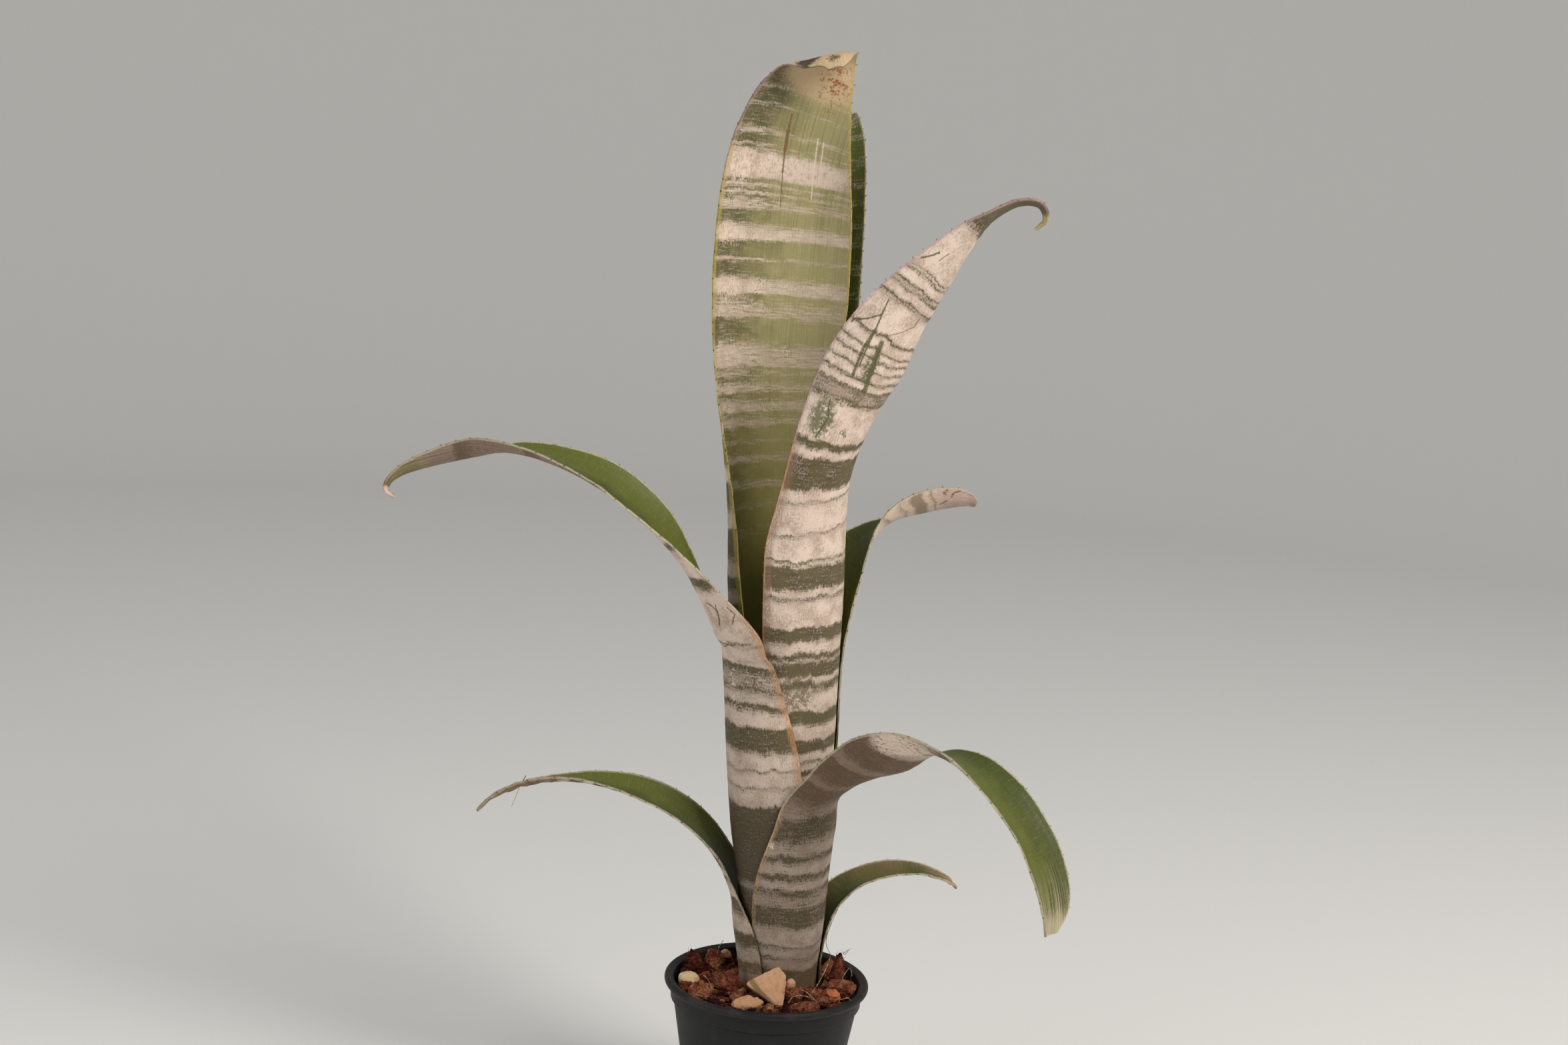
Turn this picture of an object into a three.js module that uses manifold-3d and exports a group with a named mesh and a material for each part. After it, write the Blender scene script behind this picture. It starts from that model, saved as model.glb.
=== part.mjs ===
// A potted billbergia: a tube of nested, banded leaves that arch out of a small round nursery pot of bark mix.
// Millimetres, +Z up. The origin is the centre of the pot's flat underside, and the plant's front faces -Y.
import * as THREE from "three";
import Module from "manifold-3d";
import { mergeVertices } from "three/addons/utils/BufferGeometryUtils.js";

const wasm = await Module();
wasm.setup();

// Pot
const POT_HEIGHT = 68;
const POT_LIP_RADIUS = 37.5;
const POT_FOOT_RADIUS = 24;
const POT_WALL = 1.1;
const POT_FLOOR = 1.4;
const COLLAR_HEIGHT = 8;
const COLLAR_STEP = 1.2;
const LIP_WIDTH = 2.6;
const LIP_HEIGHT = 3.1;
const POT_SIDES = 40;
const SLOTS = 6;
const SLOT_WIDTH = 5;
const SLOT_HEIGHT = 6;
const SLOT_DEPTH = 5;

// Clearance that touching pieces keep
const CLEARANCE = 0.35;

// Slivers thinner than this are tidied away after joining
const TIDY = 0.01;

// Potting mix
const MIX_EDGE_Z = 62.5;
const MIX_CROWN_Z = 65.5;
const MIX_SIDES = 32;
const SOCKET_RADIUS = 16.7;
const SOCKET_FLOOR_Z = 52;
const ROOT_HOLE_RADIUS = 6.5;
const ROOT_HOLE_FLOOR_Z = 22;

// Plant axis: it stands a little behind and to the right of the pot's centre and leans left
const AXIS_X = 4.6;
const AXIS_Y = 6.5;
const AXIS_Z = 70;
const AXIS_LEAN = -0.052;

// The tube: heights, and the radius of its innermost layer there. Every layer outside it is one step wider.
const TUBE = [
  [56, 8.6],
  [68, 8.8],
  [78, 10],
  [88, 11.3],
  [104, 12.7],
  [124, 15.2],
  [150, 16.9],
  [184, 18.5],
  [212, 19.8],
];
const LAYER_STEP = 1.5;

// Leaf blade
const LEAF_THICKNESS = 0.95;
const MARGIN_THICKNESS = 0.62;
const ROWS_PER_STEP = 2;
const SPINE_LENGTH = 1.3;
const SPINE_WIDTH = 1.5;
const SPINE_PITCH = 11;
const SPINE_ROOT = 0.7;
const BARE_TIP = 1.4;

const COLOURS = {
  leaf: 0x7d8468,
  stem: 0x9a8f68,
  pot: 0x17171a,
  mix: 0x6d3522,
  cream: 0xcfbf95,
  tan: 0xc09068,
  rust: 0xa3552c,
};

const radians = THREE.MathUtils.degToRad;

// A Catmull-Rom spline through rows of numbers, read at a place counted in rows.
function spline(rows, place) {
  const last = rows.length - 1;
  const i = Math.min(Math.max(Math.floor(place), 0), last - 1);
  const s = place - i;
  return rows[i].map((p1, k) => {
    const p2 = rows[i + 1][k];
    const p0 = i > 0 ? rows[i - 1][k] : 2 * p1 - p2;
    const p3 = i + 2 <= last ? rows[i + 2][k] : 2 * p2 - p1;
    const cubic = 3 * (p1 - p2) + p3 - p0;
    return p1 + 0.5 * s * (p2 - p0 + s * (2 * p0 - 5 * p1 + 4 * p2 - p3 + s * cubic));
  });
}

function axisAt(z) {
  return [AXIS_X + AXIS_LEAN * (z - AXIS_Z), AXIS_Y];
}

// A leaf is a list of stations up its middle line. Each is x, y, z, the way its upper face looks (three numbers),
// half its width measured along the curve, and the half angle of that curve in degrees.
function station(x, y, z, facing, halfWidth, curl) {
  return [x, y, z, ...facing, halfWidth, curl];
}

// The sheath: the leaf hugs the tube in its own layer, round an azimuth, over a wrap angle each way at every height.
function sheath(azimuth, layer, wraps) {
  const out = [Math.cos(radians(azimuth)), Math.sin(radians(azimuth))];
  return wraps.map((wrap, i) => {
    const [z, innermost] = TUBE[i];
    const r = innermost + layer * LAYER_STEP;
    const [x, y] = axisAt(z);
    return station(x + r * out[0], y + r * out[1], z, [-out[0], -out[1], 0], r * radians(wrap), wrap);
  });
}

// The eight leaves, oldest first. Columns are the facets across, and the spines start at a place up the stations.
const LEAVES = [
  {
    name: "leaf_right_low",
    columns: 4,
    spinesFrom: 3,
    stations: [
      ...sheath(38, 4, [44, 40, 34]),
      station(21, 15.5, 90, [-0.8, -0.6, 0.4], 8, 40),
      station(26, 17, 96.5, [-0.6, -0.5, 0.7], 7, 35),
      station(33.5, 20, 101, [-0.4, -0.4, 0.85], 6, 32),
      station(44, 23.5, 103.5, [-0.1, -0.35, 0.95], 5.4, 32),
      station(55, 27.5, 102.8, [0.1, -0.3, 0.95], 4.2, 36),
      station(65, 30.5, 99.5, [0.4, -0.2, 0.9], 2.6, 40),
      station(70, 32, 96, [0.7, 0, 0.7], 0.8, 40),
    ],
  },
  {
    name: "leaf_left_low",
    columns: 8,
    spinesFrom: 4,
    stations: [
      ...sheath(172, 4, [74, 73, 70, 60]),
      station(-14.7, 9, 97, [0.99, -0.14, 0], 13.3, 42),
      station(-19.5, 8.5, 108, [0.9, -0.15, 0.35], 10.5, 36),
      station(-26.5, 8, 117.5, [0.75, -0.2, 0.6], 10, 34),
      station(-36.5, 7, 126, [0.5, -0.25, 0.8], 9.6, 34),
      station(-50, 5.5, 132.5, [0.3, -0.25, 0.9], 8.8, 34),
      station(-65, 4, 136, [0.1, -0.1, 1], 7.2, 34),
      station(-80, 3, 136.3, [-0.1, 0.15, 1], 5.4, 36),
      station(-94, 2, 133.5, [-0.3, 0.2, 0.9], 4, 40),
      station(-104, 1.5, 128.5, [-0.6, 0.1, 0.8], 2.4, 40),
      station(-109, 1, 123.5, [-0.9, 0, 0.4], 0.8, 40),
    ],
  },
  {
    name: "leaf_right_front",
    columns: 8,
    spinesFrom: 5,
    stations: [
      ...sheath(310, 3, [80, 80, 80, 79, 73, 51]),
      station(14.8, -10, 135, [-0.62, 0.78, 0.1], 14.5, 42),
      station(19.5, -16, 144, [-0.5, 0.85, 0.2], 12.5, 36),
      station(26, -24, 152, [-0.3, 0.85, 0.4], 13.2, 32),
      station(34, -33, 159.5, [-0.1, 0.85, 0.55], 14, 30),
      station(42, -42, 165.8, [0, 0.6, 0.8], 13.6, 30),
      station(51.5, -51.5, 168.8, [0.15, 0.25, 0.95], 13.2, 30),
      station(62.5, -60, 166.5, [0.3, -0.05, 0.95], 13.2, 30),
      station(73, -67, 158.8, [0.5, -0.3, 0.8], 13.2, 30),
      station(82, -72.5, 148, [0.65, -0.4, 0.6], 12.8, 30),
      station(88, -76, 136, [0.75, -0.5, 0.35], 12, 30),
      station(90.8, -78, 125, [0.8, -0.5, 0.1], 10.2, 30),
      station(91, -79, 117.5, [0.8, -0.5, 0], 4.4, 24),
    ],
  },
  {
    name: "leaf_left_high",
    columns: 10,
    spinesFrom: 7,
    stations: [
      ...sheath(213, 2, [80, 80, 80, 80, 80, 79, 76, 51]),
      station(-22.8, -8.8, 194, [0.85, 0.5, 0.15], 17.8, 47),
      station(-30.5, -11.5, 208, [0.8, 0.3, 0.4], 14.5, 44),
      station(-39.5, -13.5, 222.5, [0.65, 0, 0.7], 12.6, 40),
      station(-51, -14.5, 236, [0.5, -0.25, 0.85], 12.8, 36),
      station(-66.5, -15, 248, [0.3, -0.3, 0.9], 12.2, 35),
      station(-84, -16, 255, [0.15, -0.15, 1], 11.2, 36),
      station(-100, -17, 258, [0, 0.1, 1], 9.8, 36),
      station(-114, -17, 256.5, [-0.1, 0.5, 0.9], 8, 38),
      station(-127.5, -17.5, 252.5, [-0.35, 0.5, 0.8], 6, 42),
      station(-138, -18.5, 248, [-0.8, 0.3, 0.5], 4, 46),
      station(-142.5, -19, 243, [-1, 0, 0], 2.2, 50),
      station(-139.5, -19, 240, [-0.4, 0, -0.9], 0.8, 40),
    ],
  },
  {
    name: "leaf_right_rear",
    columns: 6,
    spinesFrom: 8,
    stations: [
      ...sheath(50, 2, [47, 47, 47, 47, 47, 47, 46, 44]),
      station(14, 23.8, 198, [-0.63, -0.77, 0.05], 15.2, 41),
      station(17, 25.2, 211, [-0.6, -0.75, 0.18], 13.6, 39),
      station(21.5, 27, 220.5, [-0.6, -0.6, 0.5], 12, 35),
      station(28.5, 28.5, 229.5, [-0.6, -0.2, 0.8], 10, 32),
      station(37, 29, 236.5, [-0.4, 0.35, 0.8], 8, 36),
      station(46.5, 29.5, 241, [-0.2, 0.65, 0.7], 7.4, 40),
      station(56, 30, 243.5, [0, 0.7, 0.7], 6.8, 42),
      station(63, 30.5, 244, [0.1, 0.7, 0.7], 4.6, 42),
      station(66, 31, 243, [0.2, 0.7, 0.7], 1.5, 30),
    ],
  },
  {
    name: "leaf_rear_upright",
    columns: 6,
    spinesFrom: 9,
    stations: [
      ...sheath(92, 1, [50, 50, 50, 50, 50, 50, 50, 50, 50]),
      station(-4.5, 30.3, 250, [0.05, -1, 0], 24.5, 50),
      station(-4, 32.2, 285, [0, -1, 0], 24.5, 48),
      station(-3.5, 34, 320, [0, -1, 0.05], 24, 44),
      station(-3, 36.5, 350, [0, -1, 0.1], 23, 42),
      station(-2, 41.5, 369, [0, -0.9, 0.45], 20.5, 40),
      station(-1, 50, 378, [0, -0.4, 0.9], 16, 38),
      station(-1, 61, 377, [0, 0.3, 0.95], 12, 38),
      station(-1, 72, 367, [0, 0.8, 0.6], 7.5, 38),
      station(-1, 78, 352, [0, 0.95, 0.3], 3, 36),
      station(-1, 80, 341, [0, 1, 0.1], 0.8, 30),
    ],
  },
  {
    name: "leaf_right_high",
    columns: 8,
    spinesFrom: 8.5,
    stations: [
      ...sheath(317, 1, [66, 66, 66, 66, 66, 66, 66, 67, 66]),
      station(12.2, -8.6, 233, [-0.73, 0.68, 0], 24, 64),
      station(12.8, -14, 254, [-0.7, 0.72, 0.05], 19.5, 60),
      station(17, -19.5, 276, [-0.55, 0.83, 0.1], 18, 58),
      station(23.3, -22.5, 295, [-0.4, 0.9, 0.15], 17.5, 52),
      station(31.5, -24, 311.5, [-0.35, 0.85, 0.35], 15, 50),
      station(42.8, -25, 327.5, [-0.3, 0.75, 0.6], 11.5, 48),
      station(53.5, -25.5, 341.5, [-0.25, 0.5, 0.85], 8, 46),
      station(60, -25.5, 348.5, [-0.15, 0.3, 0.95], 5, 42),
      station(68, -25.5, 353.5, [0, 0.3, 1], 3.6, 34),
      station(75, -25.5, 353.5, [0.6, 0.3, 0.8], 3, 34),
      station(77, -25.5, 349, [1, 0.2, 0], 2.2, 36),
      station(74, -25.5, 345.7, [0.6, 0, -0.8], 0.8, 40),
    ],
  },
  {
    name: "leaf_tall",
    columns: 10,
    spinesFrom: 9,
    stations: [
      ...sheath(112, 0, [100, 103, 105, 106, 107, 108, 111, 114, 109]),
      station(-12.6, 24.2, 240, [0.42, -0.91, 0], 33, 94),
      station(-14.2, 25, 267, [0.4, -0.93, 0], 31, 78),
      station(-15.5, 26, 293, [0.36, -0.93, 0], 30.5, 66),
      station(-15, 26, 320, [0.34, -0.94, 0], 30.5, 57),
      station(-13.9, 25, 347, [0.3, -0.95, 0], 28.5, 52),
      station(-11.2, 23, 370, [0.2, -0.97, -0.1], 24, 46),
      station(-7.5, 20, 386.5, [0.2, -0.9, -0.35], 19.5, 40),
      station(-3, 15.5, 396.5, [0.3, -0.75, -0.6], 15.5, 30),
      station(0.8, 10, 400.8, [0.35, -0.1, -1], 12, 22),
      station(3, 4.5, 399.8, [0.25, 0.4, -0.9], 7.5, 16),
      station(4, 1.5, 396.5, [0.1, 0.7, -0.7], 2.5, 10),
    ],
  },
];

// A point of the leaf's middle surface, and its frame there. The place counts stations from the base, and v runs from
// one margin at -1 to the other at 1.
function leafPoint(stations, place, v) {
  const [x, y, z, nx, ny, nz, halfWidth, curl] = spline(stations, place);
  const step = 0.01;
  const ahead = spline(stations, place + step);
  const behind = spline(stations, place - step);
  const along = new THREE.Vector3(
    ahead[0] - behind[0],
    ahead[1] - behind[1],
    ahead[2] - behind[2],
  ).normalize();
  const facing = new THREE.Vector3(nx, ny, nz).projectOnPlane(along).normalize();
  const across = new THREE.Vector3().crossVectors(along, facing);
  const bend = radians(curl);
  const radius = halfWidth / bend;
  const turn = v * bend;
  const point = new THREE.Vector3(x, y, z)
    .addScaledVector(across, radius * Math.sin(turn))
    .addScaledVector(facing, radius * (1 - Math.cos(turn)));
  const normal = facing
    .clone()
    .multiplyScalar(Math.cos(turn))
    .addScaledVector(across, -Math.sin(turn));
  const outward = across
    .clone()
    .multiplyScalar(Math.cos(turn))
    .addScaledVector(facing, Math.sin(turn));
  return { point, normal, outward, along };
}

function thicknessAt(v) {
  return LEAF_THICKNESS - (LEAF_THICKNESS - MARGIN_THICKNESS) * v * v;
}

// A closed mesh from points and triangles.
function meshGeometry(points, triangles) {
  const geometry = new THREE.BufferGeometry();
  geometry.setAttribute("position", new THREE.Float32BufferAttribute(points, 3));
  geometry.setIndex(triangles);
  return geometry;
}

// The blade as a thin closed strip: the upper face, the lower face and the walls round them.
function bladeGeometry({ stations, columns }) {
  const rows = ROWS_PER_STEP * (stations.length - 1);
  const points = [];
  const triangles = [];
  const across = columns + 1;
  const sheet = (rows + 1) * across;
  for (const side of [1, -1]) {
    for (let i = 0; i <= rows; i++) {
      for (let j = 0; j <= columns; j++) {
        const v = (2 * j) / columns - 1;
        const { point, normal } = leafPoint(stations, i / ROWS_PER_STEP, v);
        point.addScaledVector(normal, (side * thicknessAt(v)) / 2);
        points.push(point.x, point.y, point.z);
      }
    }
  }
  const upper = (i, j) => i * across + j;
  const lower = (i, j) => sheet + upper(i, j);
  const quad = (a, b, c, d) => triangles.push(a, b, c, a, c, d);
  for (let i = 0; i < rows; i++) {
    for (let j = 0; j < columns; j++) {
      quad(upper(i, j), upper(i, j + 1), upper(i + 1, j + 1), upper(i + 1, j));
      triangles.push(lower(i, j), lower(i + 1, j + 1), lower(i, j + 1));
      triangles.push(lower(i, j), lower(i + 1, j), lower(i + 1, j + 1));
    }
    quad(upper(i, 0), upper(i + 1, 0), lower(i + 1, 0), lower(i, 0));
    quad(upper(i + 1, columns), upper(i, columns), lower(i, columns), lower(i + 1, columns));
  }
  for (let j = 0; j < columns; j++) {
    quad(upper(0, j + 1), upper(0, j), lower(0, j), lower(0, j + 1));
    quad(upper(rows, j), upper(rows, j + 1), lower(rows, j + 1), lower(rows, j));
  }
  return meshGeometry(points, triangles);
}

// A solid for joining and cutting, from a closed geometry.
function solidOf(geometry) {
  const bare = geometry.clone();
  bare.deleteAttribute("normal");
  bare.deleteAttribute("uv");
  const merged = mergeVertices(bare, 1e-4);
  return new wasm.Manifold(
    new wasm.Mesh({
      numProp: 3,
      vertProperties: new Float32Array(merged.attributes.position.array),
      triVerts: new Uint32Array(merged.index.array),
    }),
  );
}

function geometryOf(solid) {
  const mesh = solid.simplify(TIDY).getMesh();
  const points = [];
  for (let i = 0; i < mesh.numVert; i++) {
    points.push(...mesh.vertProperties.subarray(i * mesh.numProp, i * mesh.numProp + 3));
  }
  return meshGeometry(points, Array.from(mesh.triVerts));
}

// One marginal spine: a three-sided thorn that points outwards and towards the tip.
function spineSolid(stations, place, v) {
  const { point, normal, outward, along } = leafPoint(stations, place, v);
  const away = outward.multiplyScalar(Math.sign(v));
  const half = SPINE_WIDTH / 2;
  const thick = MARGIN_THICKNESS * 0.4;
  const root = point.clone().addScaledVector(away, -SPINE_ROOT);
  const corners = [
    root.clone().addScaledVector(along, -half).addScaledVector(normal, -thick),
    root.clone().addScaledVector(along, half).addScaledVector(normal, -thick),
    root.clone().addScaledVector(normal, thick),
    point.clone().addScaledVector(away, SPINE_LENGTH).addScaledVector(along, SPINE_LENGTH * 0.5),
  ];
  const faces = [0, 1, 2, 0, 3, 1, 1, 3, 2, 2, 3, 0];
  const points = corners.flatMap((c) => [c.x, c.y, c.z]);
  const made = solidOf(meshGeometry(points, faces));
  if (made.volume() > 0) return made;
  return solidOf(meshGeometry(points, [0, 2, 1, 0, 1, 3, 1, 2, 3, 2, 0, 3]));
}

// Places a spine pitch apart along the margins, from the leaf's first spine to just short of its tip.
function spinePlaces({ stations, spinesFrom }) {
  const step = 0.05;
  const places = [];
  let walked = SPINE_PITCH;
  for (let place = spinesFrom; place < stations.length - 1 - BARE_TIP; place += step) {
    if (walked >= SPINE_PITCH) {
      places.push(place);
      walked = 0;
    }
    const here = leafPoint(stations, place, 0).point;
    walked += leafPoint(stations, place + step, 0).point.distanceTo(here);
  }
  return places;
}

function leafGeometry(leaf) {
  const spines = [];
  for (const place of spinePlaces(leaf)) {
    for (const margin of [-1, 1]) spines.push(spineSolid(leaf.stations, place, margin));
  }
  return geometryOf(wasm.Manifold.union([solidOf(bladeGeometry(leaf)), ...spines]));
}

// A solid of revolution about Z from radius and height pairs that start and end on the axis or close on themselves.
function turned(profile, sides) {
  const outline = profile.map(([r, z]) => new THREE.Vector2(r, z));
  return new THREE.LatheGeometry(outline, sides).rotateX(Math.PI / 2);
}

// The pot's wall: its outer radius below the collar, and the bore of the collar.
const COLLAR_Z = POT_HEIGHT - COLLAR_HEIGHT;
const COLLAR_RADIUS = POT_LIP_RADIUS - LIP_WIDTH;
const COLLAR_BORE = COLLAR_RADIUS - POT_WALL + 0.3;

function potRadius(z) {
  const top = COLLAR_RADIUS - COLLAR_STEP;
  return POT_FOOT_RADIUS + ((top - POT_FOOT_RADIUS) * z) / COLLAR_Z;
}

function potGeometry() {
  const lipZ = POT_HEIGHT - LIP_HEIGHT / 2;
  const lip = [];
  for (let i = 0; i <= 6; i++) {
    const turn = radians(-90 + 30 * i);
    lip.push([
      POT_LIP_RADIUS - LIP_WIDTH / 2 + (LIP_WIDTH / 2) * Math.cos(turn),
      lipZ + (LIP_HEIGHT / 2) * Math.sin(turn),
    ]);
  }
  const profile = [
    [0, 0],
    [POT_FOOT_RADIUS - 0.8, 0],
    [POT_FOOT_RADIUS, 0.8],
    [potRadius(COLLAR_Z - 1), COLLAR_Z - 1],
    [COLLAR_RADIUS, COLLAR_Z],
    [COLLAR_RADIUS, lipZ - LIP_HEIGHT / 2],
    ...lip,
    [COLLAR_BORE, POT_HEIGHT - 1.2],
    [COLLAR_BORE, COLLAR_Z],
    [potRadius(COLLAR_Z - 1) - POT_WALL, COLLAR_Z - 1],
    [potRadius(POT_FLOOR) - POT_WALL, POT_FLOOR],
    [0, POT_FLOOR],
  ];
  let pot = solidOf(turned(profile, POT_SIDES));
  for (let i = 0; i < SLOTS; i++) {
    const slot = new THREE.BoxGeometry(2 * SLOT_DEPTH, SLOT_WIDTH, 2 * SLOT_HEIGHT);
    slot.translate(POT_FOOT_RADIUS + 1, 0, 0);
    slot.rotateZ((2 * Math.PI * (i + 0.5)) / SLOTS);
    pot = pot.subtract(solidOf(slot));
  }
  return geometryOf(pot);
}

// Repeatable random numbers from 0 to 1.
function randomFrom(seed) {
  let state = seed;
  return () => {
    state = (state * 1664525 + 1013904223) % 4294967296;
    return state / 4294967296;
  };
}

// A rough lump: a faceted ball with every corner moved in or out, stretched to size and turned.
function lump(seed, size, place, turn, detail = 0, roughness = 0.3) {
  const random = randomFrom(seed);
  const ball = new THREE.IcosahedronGeometry(0.5, detail);
  ball.deleteAttribute("normal");
  ball.deleteAttribute("uv");
  const made = mergeVertices(ball, 1e-4);
  const corners = made.attributes.position;
  for (let i = 0; i < corners.count; i++) {
    const scale = 1 + roughness * (random() - 0.5) * 2;
    corners.setXYZ(i, corners.getX(i) * scale, corners.getY(i) * scale, corners.getZ(i) * scale);
  }
  made.scale(...size);
  made.rotateX(radians(turn[0]));
  made.rotateY(radians(turn[1]));
  made.rotateZ(radians(turn[2]));
  made.translate(...place);
  return made;
}

// Bark chips that stand out of the mix where the eye falls on them: size, place, turn.
const MARKED_CHIPS = [
  { size: [9, 9, 11], place: [-26.5, 7, 69], turn: [10, -15, 20] },
  { size: [8, 8, 9], place: [-20.5, 10, 68.5], turn: [-10, 10, 40] },
  { size: [12, 9.5, 10.5], place: [-14.5, -9, 67.5], turn: [-15, 20, -25] },
  { size: [7, 6, 5], place: [-28, 3, 65.5], turn: [0, 20, 0] },
  { size: [9, 8, 7], place: [-22.5, -13, 65], turn: [20, 10, 50] },
  { size: [7, 6, 18], place: [25.6, 1, 71.5], turn: [4, 10, 30] },
  { size: [12, 8, 8], place: [28, -8, 68.5], turn: [15, -20, -35] },
  { size: [9, 8, 7], place: [18.5, -13.5, 66.5], turn: [0, 15, 15] },
  { size: [9, 8, 7], place: [23, -14, 65.5], turn: [10, 0, 30] },
  { size: [11, 5.5, 6], place: [13.5, -22.5, 65.5], turn: [0, 5, 10] },
  { size: [9, 8, 7.5], place: [-16.5, 17.5, 65.8], turn: [0, 0, 20] },
  { size: [9, 7, 7.5], place: [-4.5, -16.5, 66], turn: [5, 0, 15] },
  { size: [7.5, 6.5, 7], place: [10.5, -15, 66.5], turn: [0, 10, 0] },
];
const SMALL_CHIPS = 26;
const CHIP_SEED = 11;

// Small chips spread over the mix by rule: even turns round the pot, and random distances between plant and wall.
function smallChips() {
  const random = randomFrom(CHIP_SEED);
  const chips = [];
  const goldenTurn = 137.5;
  for (let i = 0; i < SMALL_CHIPS; i++) {
    const azimuth = radians(i * goldenTurn);
    const radius = 19 + 11 * random();
    const place = [radius * Math.cos(azimuth), radius * Math.sin(azimuth), 63.4 + 1.8 * random()];
    const size = [6 + 5 * random(), 5 + 3 * random(), 4 + 3 * random()];
    const turn = [360 * random(), 360 * random(), 360 * random()];
    chips.push(lump(100 + i, size, place, turn));
  }
  return chips;
}

// The pale stones and chips that lie on the mix. A lump has a size, a place and a turn, and the wedge has corners.
const STONES = [
  { name: "pebble_cream", colour: "cream", size: [8.4, 7, 6.8], place: [-28.4, -6, 67], turn: [0, 10, 0], detail: 1, roughness: 0.08 },
  { name: "stone_cream_rear", colour: "cream", size: [5.4, 5, 5], place: [-15.8, 17, 69.2], turn: [20, 0, 30], detail: 0, roughness: 0.2 },
  { name: "stone_cream_front", colour: "cream", size: [13.5, 6.5, 5], place: [-6.5, -24.6, 66.6], turn: [20, -4, 8], detail: 0, roughness: 0.16 },
  { name: "chip_tan_wedge", colour: "tan" },
  { name: "chip_tan_small", colour: "tan", size: [4, 4, 5.5], place: [8.6, -13.2, 70.2], turn: [30, 15, 0], detail: 0, roughness: 0.2 },
  { name: "chip_rust", colour: "rust", size: [6.6, 6.5, 7], place: [24.4, -15.6, 68.2], turn: [25, -10, 40], detail: 0, roughness: 0.2 },
];

// The wedge is a flat slab that leans on the plant's foot: the corners of its front face, and its thickness.
const WEDGE_CORNERS = [
  [4, -11.6, 76.3],
  [7.1, -14, 73.8],
  [6.6, -19.8, 63.6],
  [4.2, -20.2, 63.8],
  [-7.3, -16.2, 70.4],
  [-6.6, -15.6, 71.6],
];
const WEDGE_THICKNESS = 3;

// The slab, grown on every side by the same amount.
function slabSolid(corners, thickness, grow) {
  const points = corners.map((corner) => new THREE.Vector3(...corner));
  const middle = new THREE.Vector3();
  for (const point of points) middle.addScaledVector(point, 1 / points.length);
  const side = points[2].clone().sub(points[0]);
  const inward = side.cross(points[4].clone().sub(points[0])).normalize();
  if (inward.y < 0) inward.negate();
  const hull = [];
  for (const point of points) {
    const away = point.clone().sub(middle).normalize();
    const rim = point.clone().addScaledVector(away, 1.6 * grow);
    hull.push(rim.clone().addScaledVector(inward, -grow).toArray());
    hull.push(rim.clone().addScaledVector(away, -0.5).addScaledVector(inward, thickness + grow).toArray());
  }
  return wasm.Manifold.hull(hull);
}

// A stone grown by a clearance on every side: nothing for the stone itself, and the gap for its seat in the mix.
function stoneSolid(stone, index, grow) {
  if (!stone.size) return slabSolid(WEDGE_CORNERS, WEDGE_THICKNESS, grow);
  const size = stone.size.map((s) => s + 2 * grow);
  return solidOf(lump(500 + index, size, stone.place, stone.turn, stone.detail, stone.roughness));
}

// A round hole down the foot of the plant.
function plug(radius, fromZ, toZ) {
  const made = new THREE.CylinderGeometry(radius, radius, toZ - fromZ, MIX_SIDES);
  made.rotateX(Math.PI / 2);
  const [x, y] = axisAt(SOCKET_FLOOR_Z);
  made.translate(x, y, (fromZ + toZ) / 2);
  return made;
}

function mixGeometry() {
  const gap = 1.2 * CLEARANCE;
  const wall = (z) => potRadius(z) - POT_WALL - gap;
  const foot = [
    [0, POT_FLOOR + gap],
    [wall(POT_FLOOR), POT_FLOOR + gap],
  ];
  const body = [
    ...foot,
    [wall(MIX_EDGE_Z), MIX_EDGE_Z],
    [24, MIX_CROWN_Z - 0.6],
    [12, MIX_CROWN_Z],
    [0, MIX_CROWN_Z],
  ];
  const within = [
    ...foot,
    [wall(COLLAR_Z - 1), COLLAR_Z - 1],
    [COLLAR_BORE - gap, COLLAR_Z + 0.6],
    [COLLAR_BORE - gap, POT_HEIGHT + 20],
    [0, POT_HEIGHT + 20],
  ];
  const marked = MARKED_CHIPS.map(({ size, place, turn }, i) => lump(300 + i, size, place, turn, 1, 0.2));
  const chips = [...marked, ...smallChips()].map(solidOf);
  const seats = STONES.map((stone, i) => stoneSolid(stone, i, CLEARANCE));
  const holes = [
    solidOf(plug(SOCKET_RADIUS, SOCKET_FLOOR_Z, POT_HEIGHT + 30)),
    solidOf(plug(ROOT_HOLE_RADIUS, ROOT_HOLE_FLOOR_Z, SOCKET_FLOOR_Z + 1)),
  ];
  const mix = wasm.Manifold.union([solidOf(turned(body, MIX_SIDES)), ...chips])
    .intersect(solidOf(turned(within, MIX_SIDES)))
    .subtract(wasm.Manifold.union([...holes, ...seats]));
  const pieces = mix.decompose().sort((a, b) => b.volume() - a.volume());
  return geometryOf(pieces[0]);
}

// The short stem that carries the leaves, with its main roots.
const STEM_FOOT_Z = SOCKET_FLOOR_Z + CLEARANCE;
const STEM_TOP_Z = 78;
const ROOTS = 5;

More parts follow.
